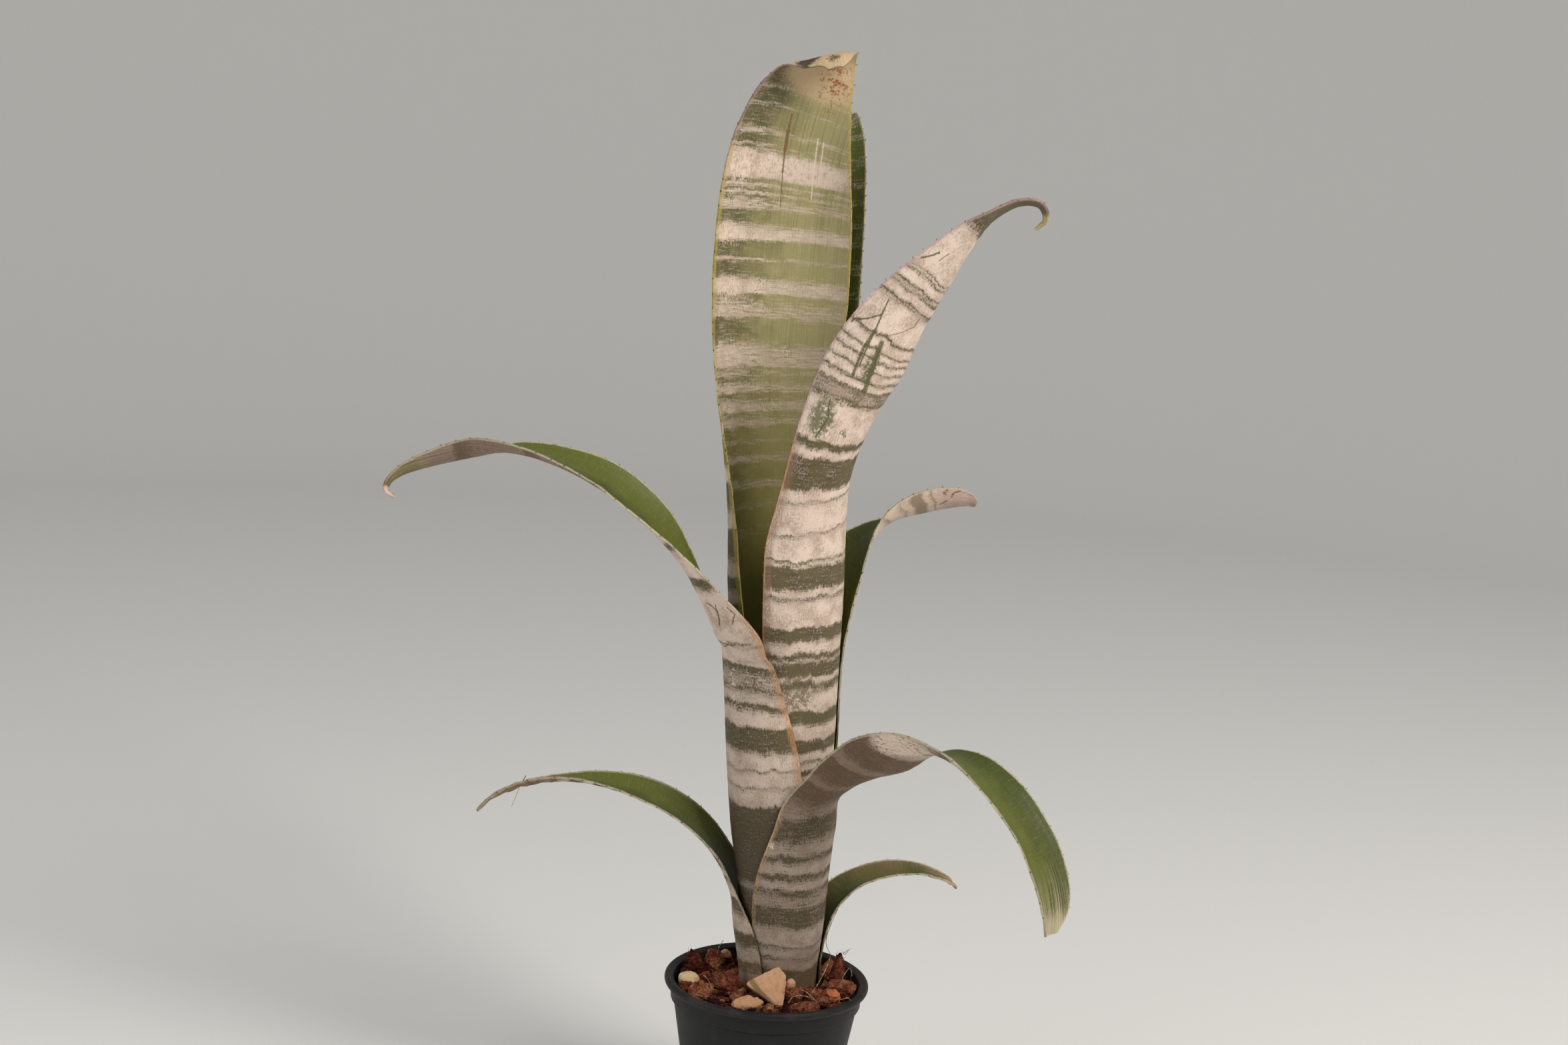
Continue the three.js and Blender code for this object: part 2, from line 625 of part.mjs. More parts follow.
function stemGeometry() {
  const body = turned(
    [
      [0, STEM_FOOT_Z],
      [ROOT_HOLE_RADIUS + 1.3, STEM_FOOT_Z],
      [ROOT_HOLE_RADIUS + 1.3, STEM_FOOT_Z + 2.2],
      [7.2, 57],
      [7, 66],
      [6.5, 74],
      [4, 77],
      [0, STEM_TOP_Z],
    ],
    16,
  );
  const [x, y] = axisAt(SOCKET_FLOOR_Z);
  body.translate(x, y, 0);
  let stem = solidOf(body);
  const rootLength = STEM_FOOT_Z - ROOT_HOLE_FLOOR_Z - 1;
  for (let i = 0; i < ROOTS; i++) {
    const turn = (2 * Math.PI * i) / ROOTS;
    const root = new THREE.CylinderGeometry(1.5, 0.5, rootLength, 6);
    root.rotateX(Math.PI / 2);
    root.rotateY(radians(3));
    root.rotateZ(turn);
    root.translate(x + 3 * Math.cos(turn), y + 3 * Math.sin(turn), STEM_FOOT_Z + 1 - rootLength / 2);
    stem = stem.add(solidOf(root));
  }
  return geometryOf(stem);
}

function material(colour, roughness) {
  return new THREE.MeshStandardMaterial({ color: COLOURS[colour], roughness, metalness: 0 });
}

function named(name, geometry, finish) {
  const mesh = new THREE.Mesh(geometry, finish);
  mesh.name = name;
  return mesh;
}

const plant = new THREE.Group();
plant.name = "plant";
plant.add(named("stem_and_roots", stemGeometry(), material("stem", 0.8)));
for (const leaf of LEAVES) plant.add(named(leaf.name, leafGeometry(leaf), material("leaf", 0.6)));

const potful = new THREE.Group();
potful.name = "potful";
potful.add(named("pot", potGeometry(), material("pot", 0.5)));
potful.add(named("potting_mix", mixGeometry(), material("mix", 0.95)));
STONES.forEach((stone, i) => {
  const geometry = geometryOf(stoneSolid(stone, i, 0));
  potful.add(named(stone.name, geometry, material(stone.colour, 0.85)));
});

const pottedPlant = new THREE.Group();
pottedPlant.add(plant, potful);

export default pottedPlant;
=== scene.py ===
"""A potted bromeliad with its finishes: spiny banded leaves, a bark mix with stones, and a nursery pot.

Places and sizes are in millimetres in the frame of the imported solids. MM turns them into Blender's metres.
"""
import math
import random
from collections import namedtuple

import bmesh
import bpy
from bpy.props import FloatProperty, FloatVectorProperty, IntProperty, PointerProperty
from mathutils import Matrix, Vector, noise


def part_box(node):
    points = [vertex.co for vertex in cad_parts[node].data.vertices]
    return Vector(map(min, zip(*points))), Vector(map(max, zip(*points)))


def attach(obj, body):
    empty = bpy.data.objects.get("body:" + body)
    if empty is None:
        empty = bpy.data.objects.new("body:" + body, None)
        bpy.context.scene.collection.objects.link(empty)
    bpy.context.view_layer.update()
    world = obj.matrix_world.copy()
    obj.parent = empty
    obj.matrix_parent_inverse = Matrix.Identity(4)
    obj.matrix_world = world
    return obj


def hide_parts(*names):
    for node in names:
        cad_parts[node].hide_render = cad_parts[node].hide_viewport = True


bl_info = {
    "name": "Potted bromeliad",
    "version": (1, 0, 0),
    "blender": (4, 5, 0),
    "location": "View3D > Sidebar > Bromeliad",
    "description": "Dresses the packed solids of a potted bromeliad with leaves, bark, stones and a pot",
    "category": "Add Mesh",
}

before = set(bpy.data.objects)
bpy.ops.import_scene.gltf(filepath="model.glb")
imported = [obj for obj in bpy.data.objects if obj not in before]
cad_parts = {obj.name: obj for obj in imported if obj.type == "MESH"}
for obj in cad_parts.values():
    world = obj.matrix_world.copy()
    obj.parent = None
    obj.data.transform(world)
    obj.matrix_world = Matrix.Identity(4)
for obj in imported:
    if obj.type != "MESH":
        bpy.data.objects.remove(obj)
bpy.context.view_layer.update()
MM = 0.001
BODY = "root"

# The pot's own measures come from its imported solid
POT_LOW, POT_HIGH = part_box("pot")
LIP_RADIUS = (POT_HIGH.x - POT_LOW.x) / 2 / MM
POT_TOP = POT_HIGH.z / MM

# Pot below the lip: foot, wall, floor, collar, lip and drainage slots
FOOT_RADIUS = 24
FOOT_ROUND = 0.8
FOOT_RIM = 3
WALL = 1.1
WALL_HEIGHTS = (20, 40)
INNER_WALL_MIDDLE = 30
FLOOR = 1.4
COLLAR_HEIGHT = 8
COLLAR_STEP = 1.2
COLLAR_ROUND = 0.5
COLLAR_THINNING = 0.3
LIP_WIDTH = 2.6
LIP_HEIGHT = 3.1
LIP_INNER_DROP = 1.3
SLOTS = 6
SLOT_SIZE = (10, 5, 12)
COLLAR_FOOT = POT_TOP - COLLAR_HEIGHT
COLLAR_RADIUS = LIP_RADIUS - LIP_WIDTH
COLLAR_BORE = COLLAR_RADIUS - WALL + COLLAR_THINNING
INNER_WALL_TOP = COLLAR_FOOT - 1

# Potting mix: its top at the wall and in the middle, how far out loose bits lie, and how fine its mesh is
MIX_EDGE = 62.5
MIX_CROWN = 65.4
MIX_REACH = 31.5
MIX_STEPS = 240
MIX_RINGS = 46

# The bed lies this far under the tops of the chips, and this far from the pot's wall
BED_DROP = 1.2
WALL_GAP = 0.45

# Above this height the chips may reach out to the collar's bore
BORE_CLEAR_FROM = POT_TOP - 4

# The hole for the plant's foot: its radius, its floor, and how wide a rim is drawn in to a sharp edge
SOCKET_RADIUS = 16.7
SOCKET_FLOOR = 52
SOCKET_RIM = 0.4

# Plant axis: a little behind and to the right of the pot's centre, leaning left
AXIS_X = 4.6
AXIS_Y = 6.5
AXIS_Z = 70
AXIS_LEAN = -0.052

# The tube: heights, and the radius of its innermost layer there
TUBE = [
    (56, 8.6),
    (68, 8.8),
    (78, 10),
    (88, 11.3),
    (104, 12.7),
    (124, 15.2),
    (150, 16.9),
    (184, 18.5),
    (212, 19.8),
]
LAYER_STEP = 1.5

# Camera of the photograph: place, downward tilt and roll
CAMERA_PLACE = Vector((-4.11, -766.7, 352.71))
CAMERA_TILT = math.radians(8.6)
CAMERA_ROLL = math.radians(3.6)
CAMERA_LENS = 50
CAMERA_SENSOR = 36

# How finely leaves and fibres are measured and stepped, and how near points are merged, in metres
MEASURE_STEPS = 24
THREAD_STEPS = 4
MERGE_DISTANCE = 1e-6

# Powder bands: how many one colour ramp holds, how they start and fade, and how they fill a narrow gap
BANDS_PER_RAMP = 7
BAND_FOOT = 0.8
BAND_HEAD = 3.2
BAND_FADE_SHARE = 0.45
STOP_GAP = 0.02
NARROW_GAP = 3
NARROW_GAP_COVER = 0.5

# How far apart in the noise the leaves are, and the two faces of each
LEAF_MAP_STEP = 40
FACE_MAP_STEP = 12

# A leaf has no thorns this near to its tip
SPINELESS_TIP = 6

# Broken chunks: how far the ball swells, where planes cut it, how flat, and how rough up to which size
CHUNK_SWELL = 1.12
CHUNK_CUTS = (0.26, 0.44)
CHUNK_FLATNESS = 0.92
CHUNK_ROUGHNESS = 0.2
CHUNK_ROUGH_SIZE = 8

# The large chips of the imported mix: size, place, turn, and how pale each is
MARKED_CHIPS = [
    ((9, 9, 11), (-26.5, 7, 69), (10, -15, 20), 0.25),
    ((8, 8, 9), (-20.5, 10, 68.5), (-10, 10, 40), 0.7),
    ((12, 9.5, 10.5), (-14.5, -9, 67.5), (-15, 20, -25), 0.5),
    ((7, 6, 5), (-28, 3, 65.5), (0, 20, 0), 0.35),
    ((9, 8, 7), (-22.5, -13, 65), (20, 10, 50), 0.75),
    ((7, 6, 18), (25.6, 1, 71.5), (4, 10, 30), 0.4),
    ((12, 8, 8), (28, -8, 68.5), (15, -20, -35), 0.7),
    ((9, 8, 7), (18.5, -13.5, 66.5), (0, 15, 15), 0.5),
    ((9, 8, 7), (23, -14, 65.5), (10, 0, 30), 0.7),
    ((11, 5.5, 6), (13.5, -22.5, 65.5), (0, 5, 10), 0.6),
    ((9, 8, 7.5), (-16.5, 17.5, 65.8), (0, 0, 20), 0.3),
    ((8, 5.5, 6), (-4.5, -17.5, 64.8), (5, 0, 15), 0.2),
    ((7.5, 6.5, 7), (10.5, -15, 66.5), (0, 10, 0), 0.6),
]

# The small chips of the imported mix: how many, their ring, their heights, and each side's size and spread
SMALL_CHIPS = 26
CHIP_RING_START = 19
CHIP_RING_WIDTH = 11
CHIP_LOW = 63.4
CHIP_RISE = 1.8
CHIP_SIDES = [(6, 5), (5, 3), (4, 3)]
GOLDEN_TURN = 137.5

# In front of the wedge the chips sit lower
WEDGE_FRONT = -18
WEDGE_LEFT = -3
WEDGE_RIGHT = 5
BEFORE_WEDGE_DROP = 2.2

# Crumbs and fibres: the room they leave round the plant's foot, where they lie, and how long they are
CRUMB_ROOM = 0.8
CRUMB_LENGTHS = (1.2, 4.2)
FIBRE_RING = (22, 30)
FIBRE_LENGTHS = (4, 11)
FIBRE_BENDS = 4
TORN_LENGTHS = (1.4, 3.6)

# Seeds of the random numbers
CHIP_SEED = 11
MARKED_CHIP_SEED = 300
SMALL_CHIP_SEED = 100
CRUMB_PLACE_SEED = 21
CRUMB_SEED = 1000
FIBRE_SEED = 8

# Pale root hairs that stand clear of the mix, as points in millimetres
ROOT_HAIRS = [
    [(24.9, 0, 96.8), (22.4, -1, 90.1), (20.9, -3, 85.3), (21.1, -4, 82.4), (22.8, -5, 79.4)],
    [(22.8, -5, 79.4), (21.8, -8, 76.6), (20, -11, 73.2), (17.7, -15, 70.1), (15.2, -18, 67.3)],
    [(8.3, -24, 67.6), (9.7, -24, 69.7), (12.6, -24, 70.5), (16.3, -24, 69.7), (19, -24, 68.1)],
    [(11.6, -20, 71.3), (14.1, -21, 70.9), (16.3, -22, 69.6), (18.5, -23, 67.9)],
    [(24.7, -22, 68.9), (27.2, -24, 70), (29.2, -23, 70.3), (31.1, -18, 67)],
    [(27.3, -4, 69.9), (28.6, -4, 72.5), (30.2, -4, 74.7), (31.1, -5, 72)],
    [(-18.7, 6, 73.4), (-18.1, 4, 76.8), (-16.7, 2, 79.9)],
    [(-22.1, -8, 69.4), (-23, -10, 70.5), (-21, -13, 70), (-19.6, -15, 67.5)],
]

# A dry thread that hangs from the low leaf at the left
LEAF_THREAD = [(-92, 2, 137.6), (-94, 1, 133.5), (-95.3, 0, 129.5), (-96.6, 0, 126)]

# The olive groove across the wedge, as X and Z in millimetres
GROOVE = [(-5.6, 71.6), (-2.2, 68.2), (2.6, 64.4)]
GROOVE_WIDTH = 1.1

# The loose pieces: packed name, new name, slot, finish, and how rough each is
STONES = [
    ("pebble_cream", "chalk_pebble", "cream", "cream", 0.6),
    ("stone_cream_rear", "chalk_stone_rear", "cream", "peach", 1.3),
    ("stone_cream_front", "chalk_stone_front", "cream", "peach", 1.3),
    ("chip_tan_wedge", "wood_wedge", "tan", "tan", 0.7),
    ("chip_tan_small", "wood_chip_small", "tan", "tan", 1.2),
    ("chip_rust", "rust_chip", "rust", "rust", 2.4),
]

# The stones' longest edge before they are roughened, and the largest bevel as a share of a stone's size
STONE_EDGE = 0.55
STONE_BEVEL_SHARE = 0.07

# The stage: its rim's share of the radius, the rim's height, and how far under the pot the floor lies
STAGE_RISE = 0.35
STAGE_TOP = 2.4
STAGE_DROP = 0.3

# Lights, in metres: where they point, and each one's place, size and tint
LIGHT_AIM = (0, 0, 0.2)
KEY_LIGHT = ((0.9, -0.75, 1.15), 0.7, (1, 0.97, 0.93))
FILL_LIGHT = ((-1.0, -0.7, 0.6), 1.0, (0.94, 0.97, 1))


def tone(red, green, blue):
    """A display colour from 0 to 255 as Blender's linear colour."""

    def linear(value):
        share = value / 255
        return share / 12.92 if share <= 0.04045 else ((share + 0.055) / 1.055) ** 2.4

    return linear(red), linear(green), linear(blue)


def colour_choice(name, description, red, green, blue):
    return FloatVectorProperty(
        name=name,
        description=description,
        subtype="COLOR",
        size=3,
        min=0,
        max=1,
        default=tone(red, green, blue),
    )


def size_choice(name, description, millimetres):
    return FloatProperty(
        name=name,
        description=description,
        unit="LENGTH",
        subtype="DISTANCE",
        precision=5,
        min=0,
        default=millimetres * MM,
    )


def share_choice(name, description, share):
    return FloatProperty(name=name, description=description, subtype="FACTOR", min=0, max=2, default=share)


def power_choice(name, description, watts):
    return FloatProperty(name=name, description=description, unit="POWER", subtype="POWER", default=watts)


def count_choice(name, description, count):
    return IntProperty(name=name, description=description, min=1, default=count)


class LeafLook(bpy.types.PropertyGroup):
    """Sizes and colours of the leaves."""

    thickness: size_choice("Thickness", "Leaf thickness along its middle", 0.95)
    margin_thickness: size_choice("Margin thickness", "Leaf thickness at its margins", 0.62)
    row_gap: size_choice("Row gap", "Distance between rows of faces up a leaf", 1.15)
    columns: count_choice("Columns", "Faces across a leaf", 28)
    wrinkle: size_choice("Wrinkle", "How far a dried tip crumples", 0.5)
    ripple: size_choice("Ripple", "How far the margins wave", 0.3)
    spine_length: size_choice("Spine length", "Length of a thorn on the margin", 0.95)
    spine_radius: size_choice("Spine radius", "Thickness of a thorn at its root", 0.3)
    spine_pitch: size_choice("Spine pitch", "Distance between thorns", 5)
    raggedness: share_choice("Raggedness", "How torn the edges of the powder bands are", 1)
    band_wave: FloatProperty(
        name="Band wave", description="How far a band wanders up and down across the leaf", min=0, default=5
    )
    dryness: share_choice("Dryness", "How far the tips have dried", 0.95)
    powder: colour_choice("Powder", "Silvery powder of the bands", 228, 207, 190)
    powder_shade: colour_choice("Powder shade", "Thinner powder inside a band", 184, 162, 144)
    ground: colour_choice("Ground", "Leaf back between the bands", 100, 91, 62)
    ground_shade: colour_choice("Ground shade", "Browner patches of the leaf back", 80, 70, 48)
    # Painted shade: the dark brown laid over the low backs of the leaves, where less light reaches them
    old_back: colour_choice("Old back", "Dull lower half of a leaf's back", 58, 46, 34)
    dark_streak: colour_choice("Dark streak", "Veins on the upper face", 58, 70, 32)
    green: colour_choice("Green", "Upper face of the outer leaves", 68, 76, 26)
    light_green: colour_choice("Light green", "Paler parts of the upper face", 92, 98, 38)
    olive: colour_choice("Olive", "Old, low parts of a leaf", 82, 76, 42)
    # Partly painted shade on the tall leaf's darker side; its own colour in the veins of the backs
    grey_olive: colour_choice("Grey olive", "Shaded side of the tall leaf", 96, 92, 60)
    cream_green: colour_choice("Cream green", "Inner face of the tall leaf", 163, 154, 107)
    yellow: colour_choice("Yellow", "Broad yellow margin", 184, 164, 82)
    yellow_green: colour_choice("Yellow green", "Lower inner face of the tall leaf", 170, 160, 86)
    pale_edge: colour_choice("Pale edge", "Thin pale margin", 196, 186, 158)
    mauve: colour_choice("Mauve", "Pink-grey margin", 182, 150, 148)
    orange_tan: colour_choice("Orange tan", "Papery old margin", 188, 140, 98)
    brown_pink: colour_choice("Brown pink", "Old margin of the right tall leaf", 146, 112, 92)
    tan: colour_choice("Tan", "Dry brown of sheaths and edges", 176, 138, 100)
    # Painted shadow: the brown under the arching leaf and along the shaded tips
    shadow_brown: colour_choice("Shadow brown", "Brown bloom under an arching leaf", 104, 80, 62)
    # Weathered brown, made darker as painted shade on the shaded backs near the tips
    faded_brown: colour_choice("Faded brown", "Weathered leaf back near a tip", 116, 94, 78)
    faded_olive: colour_choice("Faded olive", "Bare leaf back at a hooked tip", 150, 146, 98)
    tip_olive: colour_choice("Tip olive", "Leaf back under a dry hook", 104, 100, 76)
    bruise: colour_choice("Bruise", "A rubbed place across the bands", 132, 116, 98)
    hood_cream: colour_choice("Hood cream", "Folded tip of the tall leaf", 206, 178, 142)
    # Painted shadow: the dark under the fold of the tall leaf's tip
    hollow: colour_choice("Hollow", "Dark hollow under the fold", 56, 46, 28)
    scratch: colour_choice("Scratch", "A scratch through the powder", 92, 92, 58)
    scratch_brown: colour_choice("Brown scratch", "A healed scratch", 120, 88, 60)
    rust_spot: colour_choice("Rust spot", "Small orange-brown scars", 150, 84, 44)
    dried: colour_choice("Dried", "Dead leaf tip", 166, 138, 110)
    dried_dark: colour_choice("Dried dark", "Dark streaks in a dead tip", 98, 72, 52)
    pink_tip: colour_choice("Pink tip", "Shrivelled end of a tip", 226, 200, 184)
    cream_tip: colour_choice("Cream tip", "Pale end of a tip", 206, 190, 140)
    white_tip: colour_choice("White tip", "Bleached end of a blunt leaf", 182, 167, 140)
    spine: colour_choice("Spine", "Point of a thorn", 84, 56, 42)
    spine_root: colour_choice("Spine root", "Foot of a thorn", 150, 118, 92)


class PotLook(bpy.types.PropertyGroup):
    """Sizes and colours of the nursery pot."""

    steps: count_choice("Steps", "Faces round the pot", 144)
    corner: size_choice("Corner", "Rounding of the drainage slots' corners", 0.5)
    plastic: colour_choice("Plastic", "Moulded black plastic", 19, 19, 21)
    scuff: colour_choice("Scuff", "Rubbed, paler plastic", 52, 49, 48)
    dust: colour_choice("Dust", "Dust from the mix", 132, 108, 92)


class MixLook(bpy.types.PropertyGroup):
    """Sizes and colours of the bark mix."""

    crumbs: count_choice("Crumbs", "Loose crumbs on the mix", 520)
    fibres: count_choice("Fibres", "Loose fibres on the mix", 90)
    fuzz: count_choice("Fuzz", "Torn fibres on each large chip", 26)
    fibre_radius: size_choice("Fibre radius", "Half the thickness of a fibre", 0.16)
    relief: size_choice("Relief", "Height of the crumbly surface", 1.6)
    # Also laid into the bark's pits as painted shade
    dark_bark: colour_choice("Dark bark", "Damp, deep parts of the bark", 56, 22, 16)
    red_bark: colour_choice("Red bark", "Main colour of the bark", 124, 60, 42)
    salmon_bark: colour_choice("Salmon bark", "Dry faces of the chips", 186, 112, 82)
    tan_bark: colour_choice("Tan bark", "Palest fibres of the bark", 216, 160, 118)
    fibre: colour_choice("Fibre", "Loose brown fibres", 128, 82, 54)
    root_hair: colour_choice("Root hair", "Pale fine roots", 206, 184, 152)


class StoneLook(bpy.types.PropertyGroup):
    """Sizes and colours of the loose stones and chips."""

    bevel: size_choice("Bevel", "Rounding of their edges", 0.7)
    relief: size_choice("Relief", "Height of their roughness", 0.35)
    cream: colour_choice("Cream", "Chalky stone", 224, 194, 150)
    cream_shade: colour_choice("Cream shade", "Pits of the chalky stone", 196, 156, 114)
    peach: colour_choice("Peach", "Flat stone in front", 206, 156, 120)
    tan: colour_choice("Tan", "Wood chip", 216, 168, 130)
    tan_shade: colour_choice("Tan shade", "Grain of the wood chip", 190, 134, 98)
    groove: colour_choice("Groove", "Olive stripe across the wood chip", 116, 98, 58)
    rust: colour_choice("Rust", "Orange chip", 212, 124, 80)
    rust_shade: colour_choice("Rust shade", "Pits of the orange chip", 150, 66, 38)
    stem: colour_choice("Stem", "Pale stem", 168, 154, 112)
    root: colour_choice("Root", "Brown roots", 122, 92, 62)


class StageLook(bpy.types.PropertyGroup):
    """The floor and the lights."""

    floor: colour_choice("Floor", "Plain pale floor", 232, 230, 226)
    sky: colour_choice("Sky", "Soft light from all round", 232, 236, 240)
    sky_strength: share_choice("Sky strength", "Strength of the light from all round", 0.44)
    radius: size_choice("Radius", "Radius of the floor", 2600)
    key_power: power_choice("Key power", "Power of the main light", 19)
    fill_power: power_choice("Fill power", "Power of the soft light at the left", 4)


class BromeliadLook(bpy.types.PropertyGroup):
    """All sizes and colours that a user may change."""

    leaf: PointerProperty(name="Leaves", description="Sizes and colours of the leaves", type=LeafLook)
    pot: PointerProperty(name="Pot", description="Sizes and colours of the pot", type=PotLook)
    mix: PointerProperty(name="Mix", description="Sizes and colours of the bark mix", type=MixLook)
    stone: PointerProperty(name="Stones", description="Sizes and colours of the stones", type=StoneLook)
    stage: PointerProperty(name="Stage", description="The floor and the lights", type=StageLook)


def axis_at(z):
    """X and Y of the plant's axis at a height."""
    return AXIS_X + AXIS_LEAN * (z - AXIS_Z), AXIS_Y


def station(x, y, z, facing, half_width, curl):
    """A place up a leaf's middle, where its upper face looks, half its width and half its curl."""
    return x, y, z, *facing, half_width, curl


def sheath(azimuth, layer, wraps):
    """The stations where a leaf hugs the tube in its own layer, over its wrap angle each way."""
    out = math.cos(math.radians(azimuth)), math.sin(math.radians(azimuth))
    made = []
    for wrap, (z, innermost) in zip(wraps, TUBE):
        r = innermost + layer * LAYER_STEP
        x, y = axis_at(z)
        half_width = r * math.radians(wrap)
        made.append(station(x + r * out[0], y + r * out[1], z, (-out[0], -out[1], 0), half_width, wrap))
    return made


# What a leaf is: stations up its middle, and markings in millimetres across it and along it from its foot.
# Its thorns begin at spines_from. Dust is the powder between its bands.
# Dry is where its tip starts to be dry, and where it is fully dry.
# Bands are (from, to, cover).
# Strips run along one margin, -1 or 1: (margin, from, to, width, colour, strength).
# Patches are (face, from, to, softness, colour, strength).
# Streaks are patches broken lengthwise: (face, from, to, colour, strength).
# Spots are (face, middle, reach, colour, strength, thinness).
# Scratches are (face, half width, colour, points across and along).
Leaf = namedtuple(
    "Leaf",
    "name spines_from dust stations lower_bands dry strips"
    " upper_bands upper_colours patches streaks spots scratches",
    defaults=((), ("green", "light_green"), (), (), (), ()),
)


def even_bands(seed, start, stop, pitch):
    """Bands for a back that the photograph hides: a seeded run of uneven widths and strengths."""
    pick = random.Random(seed)
    made = []
    place = start
    while place < stop:
        width = pitch * pick.uniform(0.25, 0.6)
        made.append((place, place + width, pick.uniform(0.6, 1)))
        place += width + pitch * pick.uniform(0.25, 0.7)
    return made


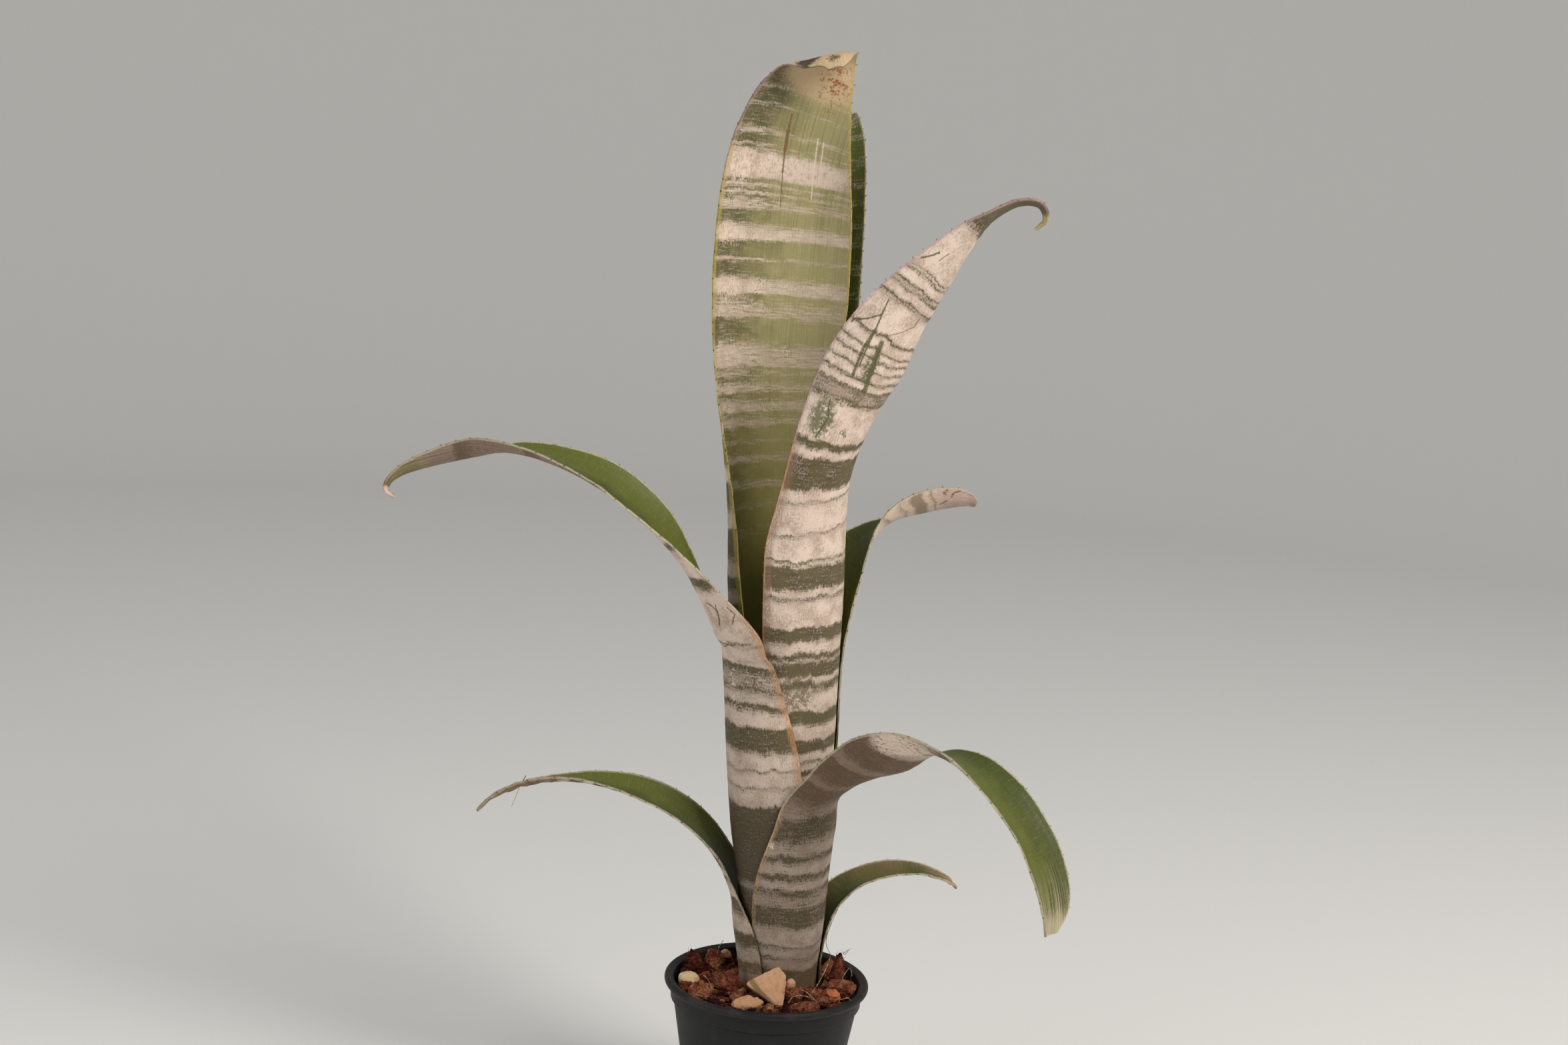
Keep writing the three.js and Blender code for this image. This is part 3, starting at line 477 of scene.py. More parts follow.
LEAVES = [
    Leaf(
        name="leaf_right_low",
        spines_from=34,
        dust=0.25,
        stations=[
            *sheath(38, 4, [44, 40, 34]),
            station(21, 15.5, 90, (-0.8, -0.6, 0.4), 8, 40),
            station(26, 17, 96.5, (-0.6, -0.5, 0.7), 7, 35),
            station(33.5, 20, 101, (-0.4, -0.4, 0.85), 6, 32),
            station(44, 23.5, 103.5, (-0.1, -0.35, 0.95), 5.4, 32),
            station(55, 27.5, 102.8, (0.1, -0.3, 0.95), 4.2, 36),
            station(65, 30.5, 99.5, (0.4, -0.2, 0.9), 2.6, 40),
            station(70, 32, 96, (0.7, 0, 0.7), 0.8, 40),
        ],
        lower_bands=even_bands(1, 8, 88, 9),
        upper_colours=("olive", "green"),
        dry=(72, 94),
        strips=[(-1, 24, 93, 0.6, "pale_edge", 0.7), (1, 24, 93, 0.7, "pale_edge", 0.7)],
        patches=[("upper", 50, 70, 8, "tan", 0.15)],
    ),
    Leaf(
        name="leaf_left_low",
        spines_from=34,
        dust=0.25,
        stations=[
            *sheath(172, 4, [74, 73, 70, 60]),
            station(-14.7, 9, 97, (0.99, -0.14, 0), 13.3, 42),
            station(-19.5, 8.5, 108, (0.9, -0.15, 0.35), 10.5, 36),
            station(-26.5, 8, 117.5, (0.75, -0.2, 0.6), 10, 34),
            station(-36.5, 7, 126, (0.5, -0.25, 0.8), 9.6, 34),
            station(-50, 5.5, 132.5, (0.3, -0.25, 0.9), 8.8, 34),
            station(-65, 4, 136, (0.1, -0.1, 1), 7.2, 34),
            station(-80, 3, 136.3, (-0.1, 0.15, 1), 5.4, 36),
            station(-94, 2, 133.5, (-0.3, 0.2, 0.9), 4, 40),
            station(-104, 1.5, 128.5, (-0.6, 0.1, 0.8), 2.4, 40),
            station(-109, 1, 123.5, (-0.9, 0, 0.4), 0.8, 40),
        ],
        lower_bands=[(8, 13, 0.7), (17, 24, 0.5), (29, 36, 0.8), *even_bands(2, 42, 150, 10)],
        dry=(118, 138),
        strips=[(-1, 30, 157, 0.6, "pale_edge", 0.7), (1, 30, 157, 0.8, "pale_edge", 0.7)],
        patches=[
            ("upper", 0, 58, 14, "olive", 0.75),
            # The tip's browns are weathering and also painted shade on the shaded underside
            ("both", 126, 150, 6, "faded_brown", 0.5),
        ],
        streaks=[("both", 112, 150, "shadow_brown", 0.6)],
    ),
    Leaf(
        name="leaf_right_front",
        spines_from=70,
        dust=0.3,
        stations=[
            *sheath(310, 3, [80, 80, 80, 79, 73, 51]),
            station(14.8, -10, 135, (-0.62, 0.78, 0.1), 14.5, 42),
            station(19.5, -16, 144, (-0.5, 0.85, 0.2), 12.5, 36),
            station(26, -24, 152, (-0.3, 0.85, 0.4), 13.2, 32),
            station(34, -33, 159.5, (-0.1, 0.85, 0.55), 14, 30),
            station(42, -42, 165.8, (0, 0.6, 0.8), 13.6, 30),
            station(51.5, -51.5, 168.8, (0.15, 0.25, 0.95), 13.2, 30),
            station(62.5, -60, 166.5, (0.3, -0.05, 0.95), 13.2, 30),
            station(73, -67, 158.8, (0.5, -0.3, 0.8), 13.2, 30),
            station(82, -72.5, 148, (0.65, -0.4, 0.6), 12.8, 30),
            station(88, -76, 136, (0.75, -0.5, 0.35), 12, 30),
            station(90.8, -78, 125, (0.8, -0.5, 0.1), 10.2, 30),
            station(91, -79, 117.5, (0.8, -0.5, 0), 4.4, 24),
        ],
        lower_bands=[
            (17.5, 21.5, 0.6), (22.5, 26, 0.6), (27, 34, 0.9), (42, 47, 0.35), (49, 52.5, 0.6),
            (55, 59.5, 0.65), (62, 68, 0.45), (76, 84, 0.35), (92, 96, 0.4), (108, 114, 0.45),
            (128, 141, 0.55), (144, 152, 0.35), (158, 163, 0.6), (170, 180, 0.8), (190, 200, 0.8),
        ],
        dry=(260, 280),
        strips=[
            (-1, 60, 222, 0.6, "pale_edge", 0.8),
            (1, 60, 222, 0.7, "pale_edge", 0.8),
            (1, 0, 80, 1.8, "tan", 0.5),
        ],
        patches=[
            # Painted shade on the low back, and a painted shadow under the arch
            ("lower", 0, 84, 20, "old_back", 0.28),
            ("lower", 80, 130, 12, "shadow_brown", 0.65),
            ("both", 217, 230, 6, "white_tip", 0.7),
        ],
        streaks=[("both", 196, 230, "white_tip", 0.9)],
        spots=[
            # A powder patch at the arch's top, whiter than the bands: partly powder, partly painted
            # highlight where light falls on it
            ("lower", (7, 137), (9, 12), "powder", 0.9, 0.4),
            ("lower", (17.3, 66), (1.3, 1.3), "powder", 0.9, 0.1),
        ],
    ),
    Leaf(
        name="leaf_left_high",
        spines_from=128,
        dust=0.2,
        stations=[
            *sheath(213, 2, [80, 80, 80, 80, 80, 79, 76, 51]),
            station(-22.8, -8.8, 194, (0.85, 0.5, 0.15), 17.8, 47),
            station(-30.5, -11.5, 208, (0.8, 0.3, 0.4), 14.5, 44),
            station(-39.5, -13.5, 222.5, (0.65, 0, 0.7), 12.6, 40),
            station(-51, -14.5, 236, (0.5, -0.25, 0.85), 12.8, 36),
            station(-66.5, -15, 248, (0.3, -0.3, 0.9), 12.2, 35),
            station(-84, -16, 255, (0.15, -0.15, 1), 11.2, 36),
            station(-100, -17, 258, (0, 0.1, 1), 9.8, 36),
            station(-114, -17, 256.5, (-0.1, 0.5, 0.9), 8, 38),
            station(-127.5, -17.5, 252.5, (-0.35, 0.5, 0.8), 6, 42),
            station(-138, -18.5, 248, (-0.8, 0.3, 0.5), 4, 46),
            station(-142.5, -19, 243, (-1, 0, 0), 2.2, 50),
            station(-139.5, -19, 240, (-0.4, 0, -0.9), 0.8, 40),
        ],
        lower_bands=[
            (18, 23.5, 0.75), (24.8, 28, 0.5), (46.5, 50, 0.45), (79.5, 85.8, 1), (86.6, 92, 1),
            (93, 99.4, 1), (109, 114.8, 1), (117, 121.5, 0.65), (123, 129, 0.4), (131.5, 139.5, 1),
            (140.5, 163.5, 0.95), (168.5, 181, 0.95), (184, 214, 0.7), (218, 238, 0.45),
            (242, 262, 0.5), (266, 280, 0.6),
        ],
        dry=(289, 294),
        strips=[
            (-1, 84, 150, 2.2, "orange_tan", 0.75),
            (-1, 150, 290, 0.6, "pale_edge", 0.8),
            (1, 120, 290, 0.6, "pale_edge", 0.8),
        ],
        patches=[
            # Painted shade: the low back and the back near the tip are painted darker where the leaf lies in
            # shade
            ("lower", 0, 78, 16, "old_back", 0.42),
            ("lower", 214, 286, 20, "faded_brown", 0.7),
            ("lower", 276, 290, 4, "faded_olive", 0.5),
            ("both", 292.5, 300, 1.5, "pink_tip", 0.9),
        ],
        streaks=[("lower", 200, 290, "shadow_brown", 0.65)],
        spots=[
            ("lower", (-2, 122), (5, 9), "powder", 0.8, 0.5),
            ("lower", (-5, 126), (3, 9), "scratch", 0.8, 0.52),
        ],
        scratches=[
            ("lower", 0.35, "scratch", [(-6.2, 157), (-7.6, 154), (-6, 150.5), (-4.1, 148)]),
            ("lower", 0.2, "scratch", [(-6.6, 156), (-4.6, 157.6)]),
            ("lower", 0.2, "scratch", [(-7.4, 154), (-8.8, 156.5)]),
            ("lower", 0.22, "scratch_brown", [(-12.8, 154.5), (-13.9, 151.4), (-10.8, 148)]),
            ("lower", 0.22, "scratch", [(2.2, 139.6), (0, 138.6), (-3, 140.4), (-6, 140)]),
            ("lower", 0.25, "scratch_brown", [(10, 91), (14.5, 95.5)]),
            ("lower", 0.25, "scratch_brown", [(11, 81), (15, 86)]),
        ],
    ),
    Leaf(
        name="leaf_right_rear",
        spines_from=130,
        dust=0.2,
        stations=[
            *sheath(50, 2, [47, 47, 47, 47, 47, 47, 46, 44]),
            station(14, 23.8, 198, (-0.63, -0.77, 0.05), 15.2, 41),
            station(17, 25.2, 211, (-0.6, -0.75, 0.18), 13.6, 39),
            station(21.5, 27, 220.5, (-0.6, -0.6, 0.5), 12, 35),
            station(28.5, 28.5, 229.5, (-0.6, -0.2, 0.8), 10, 32),
            station(37, 29, 236.5, (-0.4, 0.35, 0.8), 8, 36),
            station(46.5, 29.5, 241, (-0.2, 0.65, 0.7), 7.4, 40),
            station(56, 30, 243.5, (0, 0.7, 0.7), 6.8, 42),
            station(63, 30.5, 244, (0.1, 0.7, 0.7), 4.6, 42),
            station(66, 31, 243, (0.2, 0.7, 0.7), 1.5, 30),
        ],
        lower_bands=[
            *even_bands(3, 10, 172, 12), (178, 185.5, 1), (187, 192.3, 1), (193.4, 196.6, 1),
            (201.6, 204.3, 0.9), (205.1, 220, 0.9),
        ],
        dry=(214, 224),
        strips=[(-1, 110, 220, 0.6, "pale_edge", 0.8), (1, 110, 220, 0.6, "pale_edge", 0.8)],
        # The tip's powder is darkened all over as painted shade
        patches=[("lower", 176, 222, 4, "powder_shade", 0.45), ("lower", 207, 219, 4, "mauve", 0.5)],
        streaks=[("lower", 188, 220, "faded_brown", 0.3)],
        spots=[("lower", (5.2, 208.6), (1, 0.9), "scratch", 0.9, 0.3)],
        scratches=[
            ("lower", 0.25, "scratch", [(0.3, 206.3), (1.6, 208.8)]),
            ("lower", 0.25, "scratch_brown", [(3, 210.5), (4.5, 211.5), (5, 213.5)]),
        ],
    ),
    Leaf(
        name="leaf_rear_upright",
        spines_from=160,
        dust=0.1,
        stations=[
            *sheath(92, 1, [50, 50, 50, 50, 50, 50, 50, 50, 50]),
            station(-4.5, 30.3, 250, (0.05, -1, 0), 24.5, 50),
            station(-4, 32.2, 285, (0, -1, 0), 24.5, 48),
            station(-3.5, 34, 320, (0, -1, 0.05), 24, 44),
            station(-3, 36.5, 350, (0, -1, 0.1), 23, 42),
            station(-2, 41.5, 369, (0, -0.9, 0.45), 20.5, 40),
            station(-1, 50, 378, (0, -0.4, 0.9), 16, 38),
            station(-1, 61, 377, (0, 0.3, 0.95), 12, 38),
            station(-1, 72, 367, (0, 0.8, 0.6), 7.5, 38),
            station(-1, 78, 352, (0, 0.95, 0.3), 3, 36),
            station(-1, 80, 341, (0, 1, 0.1), 0.8, 30),
        ],
        lower_bands=even_bands(4, 12, 372, 13),
        upper_bands=[(band[0], band[1], band[2] * 0.5) for band in even_bands(5, 150, 330, 10)],
        upper_colours=("olive", "light_green"),
        dry=(366, 382),
        strips=[(-1, 120, 381, 0.6, "pale_edge", 0.6), (1, 120, 381, 0.6, "pale_edge", 0.6)],
    ),
    Leaf(
        name="leaf_right_high",
        spines_from=150,
        dust=0.2,
        stations=[
            *sheath(317, 1, [66, 66, 66, 66, 66, 66, 66, 67, 66]),
            station(12.2, -8.6, 233, (-0.73, 0.68, 0), 24, 64),
            station(12.8, -14, 254, (-0.7, 0.72, 0.05), 19.5, 60),
            station(17, -19.5, 276, (-0.55, 0.83, 0.1), 18, 58),
            station(23.3, -22.5, 295, (-0.4, 0.9, 0.15), 17.5, 52),
            station(31.5, -24, 311.5, (-0.35, 0.85, 0.35), 15, 50),
            station(42.8, -25, 327.5, (-0.3, 0.75, 0.6), 11.5, 48),
            station(53.5, -25.5, 341.5, (-0.25, 0.5, 0.85), 8, 46),
            station(60, -25.5, 348.5, (-0.15, 0.3, 0.95), 5, 42),
            station(68, -25.5, 353.5, (0, 0.3, 1), 3.6, 34),
            station(75, -25.5, 353.5, (0.6, 0.3, 0.8), 3, 34),
            station(77, -25.5, 349, (1, 0.2, 0), 2.2, 36),
            station(74, -25.5, 345.7, (0.6, 0, -0.8), 0.8, 40),
        ],
        lower_bands=[
            (20, 25, 0.6), (31, 37, 0.8), (45, 53, 0.9), (58, 66, 1), (71, 79, 0.9), (84, 87, 0.6),
            (88.6, 91.4, 0.6), (93.5, 96.6, 0.65), (97.4, 100.4, 0.8), (105, 110.6, 1),
            (115.4, 123.7, 1), (126.2, 128.5, 0.7), (133.4, 135, 0.45), (137, 141.5, 0.8),
            (146.4, 156.5, 1), (157.4, 160.4, 0.7), (168, 170, 0.6), (170.8, 180.5, 1),
            (181.4, 192.7, 1), (193.3, 197, 0.9), (208, 211.3, 0.8), (214, 228.6, 1),
            (229.8, 233.8, 0.4), (234.6, 237, 0.9), (238.7, 241.2, 0.9), (242.6, 244.8, 1),
            (246.3, 248, 0.95), (249.5, 253, 1), (254.4, 266.2, 1), (268.1, 271, 0.95),
            (271.7, 273.2, 0.5), (274, 277.4, 1), (278.2, 279.1, 0.7), (280, 300, 0.95),
        ],
        dry=(327, 333),
        strips=[
            (-1, 90, 326, 0.7, "mauve", 0.8),
            (1, 206, 326, 0.9, "mauve", 0.9),
            (1, 90, 212, 3.2, "brown_pink", 0.6),
            (1, 90, 212, 0.7, "orange_tan", 0.9),
        ],
        patches=[
            ("lower", 229.4, 234.2, 1, "bruise", 0.35),
            ("both", 305, 327, 5, "tip_olive", 0.7),
            ("both", 328, 336, 2, "cream_tip", 0.9),
        ],
        streaks=[("lower", 296, 324, "shadow_brown", 0.5)],
        spots=[
            ("lower", (11.3, 221.5), (4.6, 7), "scratch", 0.85, 0.37),
            ("lower", (1.9, 242.5), (2.4, 6), "scratch", 0.9, 0.4),
            ("lower", (2.7, 218), (1.6, 1.6), "scratch", 0.8, 0.4),
            ("lower", (11, 124), (7, 9), "ground", 0.75, 0.42),
            ("lower", (0, 113), (16, 3), "ground", 0.6, 0.46),
        ],
        scratches=[
            ("lower", 0.25, "scratch", [(8.7, 264.5), (7.6, 259.7), (6.4, 253.6), (5.5, 241.6)]),
            ("lower", 0.25, "scratch", [(7.6, 259.7), (10.8, 256.2), (13.7, 254.3)]),
            ("lower", 0.5, "scratch", [(6.6, 254), (6.9, 247), (6.2, 238)]),
            ("lower", 0.8, "scratch", [(2.4, 251.7), (1.2, 244.4), (0, 234)]),
            ("lower", 0.3, "scratch", [(9.6, 282.1), (7.8, 284.5), (6.4, 287.2)]),
            ("lower", 0.15, "scratch_brown", [(4.5, 284.9), (3.7, 288.8)]),
            ("lower", 0.15, "scratch_brown", [(2.3, 254.3), (-2.6, 258.6), (-5.6, 262.1), (-5.3, 265.8)]),
            ("lower", 0.25, "scratch", [(1.1, 246.7), (3.6, 250)]),
            ("lower", 0.25, "scratch", [(10.4, 228), (9, 222), (11.4, 215)]),
        ],
    ),
    Leaf(
        name="leaf_tall",
        spines_from=180,
        dust=0.15,
        stations=[
            *sheath(112, 0, [100, 103, 105, 106, 107, 108, 111, 114, 109]),
            station(-12.6, 24.2, 240, (0.42, -0.91, 0), 33, 94),
            station(-14.2, 25, 267, (0.4, -0.93, 0), 31, 78),
            station(-15.5, 26, 293, (0.36, -0.93, 0), 30.5, 66),
            station(-15, 26, 320, (0.34, -0.94, 0), 30.5, 57),
            station(-13.9, 25, 347, (0.3, -0.95, 0), 28.5, 52),
            station(-11.2, 23, 370, (0.2, -0.97, -0.1), 24, 46),
            station(-7.5, 20, 386.5, (0.2, -0.9, -0.35), 19.5, 40),
            station(-3, 15.5, 396.5, (0.3, -0.75, -0.6), 15.5, 30),
            station(0.8, 10, 400.8, (0.35, -0.1, -1), 12, 22),
            station(3, 4.5, 399.8, (0.25, 0.4, -0.9), 7.5, 16),
            station(4, 1.5, 396.5, (0.1, 0.7, -0.7), 2.5, 10),
        ],
        lower_bands=even_bands(6, 20, 352, 15),
        upper_bands=[
            (173, 178, 0.3), (183, 185.5, 0.35), (190.5, 194.5, 0.6), (200, 203.5, 0.6),
            (207, 208.6, 0.4), (213, 217, 0.6), (218.4, 223.6, 0.7), (225.4, 229.6, 0.65),
            (231.4, 233.8, 0.5), (234.5, 244.3, 0.75), (252.2, 259.6, 0.6), (261.2, 267.6, 0.95),
            (273.2, 274.5, 0.7), (280.5, 286.4, 1), (291.2, 295.4, 0.65), (296.2, 297.6, 0.75),
            (299, 300.4, 0.75), (302.2, 312.2, 1.3), (312.9, 314, 0.6), (317, 319.6, 0.6),
            (327, 328.4, 0.5), (333.6, 335.2, 0.5),
        ],
        # The grey-olive side is darker partly as painted shade
        upper_colours=("grey_olive", "cream_green"),
        dry=(352, 368),
        strips=[
            (-1, 90, 314, 2.6, "yellow", 0.7),
            (-1, 300, 352, 1.2, "mauve", 0.6),
            (1, 90, 352, 0.9, "yellow", 0.9),
        ],
        patches=[
            ("lower", 344, 380, 4, "hood_cream", 0.9),
        ],
        streaks=[("both", 340, 380, "faded_olive", 0.5), ("upper", 250, 348, "grey_olive", 0.2)],
        spots=[
            ("upper", (4, 345), (17, 13), "hood_cream", 0.8, 0.1),
            ("upper", (11, 337), (6, 9), "rust_spot", 0.85, 0.54),
            ("upper", (10, 344), (7, 6), "rust_spot", 0.9, 0.49),
            # Painted shadow under the fold of the tip
            ("both", (-9, 352.5), (6.5, 4.5), "hollow", 0.95, 0.1),
            ("lower", (0, 359), (2.2, 2), "hollow", 0.8, 0.35),
            ("upper", (-22, 283), (7, 4), "powder", 0.8, 0.44),
            ("upper", (-18, 262), (8, 4.5), "powder", 0.7, 0.46),
            ("upper", (-17, 305), (7, 4.5), "powder", 0.8, 0.44),
            ("upper", (10, 307), (14, 5), "powder", 0.8, 0.42),
        ],
        scratches=[
            ("upper", 0.25, "scratch_brown", [(-1.5, 326), (-1.1, 320)]),
            ("upper", 0.6, "scratch_brown", [(-1.1, 320), (-0.6, 313)]),
            ("upper", 0.3, "scratch_brown", [(-0.6, 313), (0, 305)]),
            ("upper", 0.15, "scratch", [(0, 305), (0.6, 300), (1.2, 293)]),
            ("upper", 0.2, "powder", [(10.2, 320), (11.2, 308), (12.1, 297)]),
            ("upper", 0.2, "powder", [(12.6, 319), (13.8, 303)]),
        ],
    ),
]


class Value:
    """A socket that maths can be written with."""

    def __init__(self, shader, socket):
        self.shader = shader
        self.socket = socket

    def __add__(self, other):
        return self.shader.maths("ADD", self, other)

    def __sub__(self, other):
        return self.shader.maths("SUBTRACT", self, other)

    def __rsub__(self, other):
        return self.shader.maths("SUBTRACT", other, self)

    def __mul__(self, other):
        return self.shader.maths("MULTIPLY", self, other)

    def __truediv__(self, other):
        return self.shader.maths("DIVIDE", self, other)

    __radd__ = __add__


class Shader:
    """One material's node tree, built by plain calls."""

    def __init__(self, name):
        self.material = bpy.data.materials.new(name)
        self.material.use_nodes = True
        self.tree = self.material.node_tree
        self.surface = self.tree.nodes["Principled BSDF"]

    def node(self, kind, settings, inputs, output=0):
        """Any node, from its settings and the values or links of its sockets."""
        made = self.tree.nodes.new(kind)
        for key, value in settings.items():
            if key == "stops":
                self.set_stops(made.color_ramp, value)
            else:
                setattr(made, key, value)
        for key, value in inputs.items():
            self.feed(made.inputs[key], value)
        return Value(self, made.outputs[output])

    def feed(self, socket, value):
        if isinstance(value, Value):
            self.tree.links.new(value.socket, socket)
        elif socket.type == "RGBA":
            socket.default_value = (*value, 1)
        else:
            socket.default_value = value

    @staticmethod
    def set_stops(ramp, stops):
        while len(ramp.elements) < len(stops):
            ramp.elements.new(1)
        for element, (place, grey) in zip(ramp.elements, stops):
            element.position = place
            element.color = (grey, grey, grey, 1)

    def maths(self, operation, first, second):
        return self.node("ShaderNodeMath", {"operation": operation}, {0: first, 1: second})

    def vector_maths(self, operation, first, second, output=0):
        return self.node("ShaderNodeVectorMath", {"operation": operation}, {0: first, 1: second}, output)

    def attribute(self, name, output=2):
        return self.node("ShaderNodeAttribute", {"attribute_name": name}, {}, output)

    def smooth(self, value, low, high):
        """0 below low, 1 above high, and a smooth step between."""
        settings = {"interpolation_type": "SMOOTHSTEP"}
        return self.node("ShaderNodeMapRange", settings, {0: value, 1: low, 2: high})

    def falling(self, value, low, high):
        return 1 - self.smooth(value, low, high)

    def stretch(self, vector, x, y, z=1):
        return self.vector_maths("MULTIPLY", vector, (x, y, z))

    def noise(self, vector, detail=2, roughness=0.5, scale=1):
        inputs = {"Vector": vector, "Scale": scale, "Detail": detail, "Roughness": roughness}
        return self.node("ShaderNodeTexNoise", {}, inputs)

    def mix(self, share, first, second):
        settings = {"data_type": "RGBA"}
        return self.node("ShaderNodeMix", settings, {0: share, 6: first, 7: second}, 2)

    def split(self, vector):
        made = self.tree.nodes.new("ShaderNodeSeparateXYZ")
        self.feed(made.inputs[0], vector)
        return [Value(self, socket) for socket in made.outputs]

    def bands(self, along, bands):
        """Cover from 0 to 1. Each band starts sharply and fades at its far edge."""
        total = None
        for first in range(0, len(bands), BANDS_PER_RAMP):
            group = bands[first:first + BANDS_PER_RAMP]
            low = group[0][0] - 2 * BAND_FOOT
            high = group[-1][1] + 2 * BAND_HEAD
            stops = []
            for i, (start, end, cover) in enumerate(group):
                fade = min(BAND_HEAD, BAND_FADE_SHARE * (end - start))
                gone = end + fade / 2
                stay = 0
                if i + 1 < len(group):
                    next_start, _, next_cover = group[i + 1]
                    gone = min(gone, (end + next_start) / 2)
                    nearness = max(0, 1 - (next_start - end) / NARROW_GAP)
                    stay = min(cover, next_cover) * nearness * NARROW_GAP_COVER
                foot = start - BAND_FOOT
                left = 0
                if stops:
                    foot = max(foot, stops[-1][0] + STOP_GAP)
                    left = stops[-1][1]
                stops += [(foot, left), (start + BAND_FOOT, cover), (end - fade, cover), (gone, stay)]
            stops = [((place - low) / (high - low), grey) for place, grey in stops]
            ramp = self.node("ShaderNodeValToRGB", {"stops": stops}, {0: (along - low) / (high - low)})
            total = ramp if total is None else total + ramp
        return total

    def near_spot(self, along, across, centre, reach):
        """1 in the middle of a round or oval spot, falling to 0 at its rim."""
        x = (across - centre[0]) / reach[0]
        y = (along - centre[1]) / reach[1]
        return self.falling(x * x + y * y, 0.4, 1.3)

    def near_line(self, spot, points, half_width):
        """1 on a line through points, falling to 0 at half_width beside it."""
        total = None
        for (ax, ay), (bx, by) in zip(points, points[1:]):
            start = Vector((ax, ay, 0))
            run = Vector((bx - ax, by - ay, 0))
            away = self.vector_maths("SUBTRACT", spot, start)
            share = self.vector_maths("DOT_PRODUCT", away, run / run.length_squared, 1)
            share = self.maths("MINIMUM", self.maths("MAXIMUM", share, 0), 1)
            reach = self.node("ShaderNodeCombineXYZ", {}, {0: share * run.x, 1: share * run.y})
            distance = self.vector_maths("DISTANCE", away, reach, 1)
            mask = self.falling(distance, 0.5 * half_width, 1.2 * half_width)
            total = mask if total is None else self.maths("MAXIMUM", total, mask)
        return total

    def bump(self, height, depth, strength):
        inputs = {"Height": height, "Distance": depth, "Strength": strength}
        return self.node("ShaderNodeBump", {}, inputs)

    def finish(self, colour, roughness, normal=None, specular=0.4):
        self.feed(self.surface.inputs["Base Color"], colour)
        self.feed(self.surface.inputs["Roughness"], roughness)
        self.surface.inputs["Specular IOR Level"].default_value = specular
        if normal is not None:
            self.feed(self.surface.inputs["Normal"], normal)
        return self.material


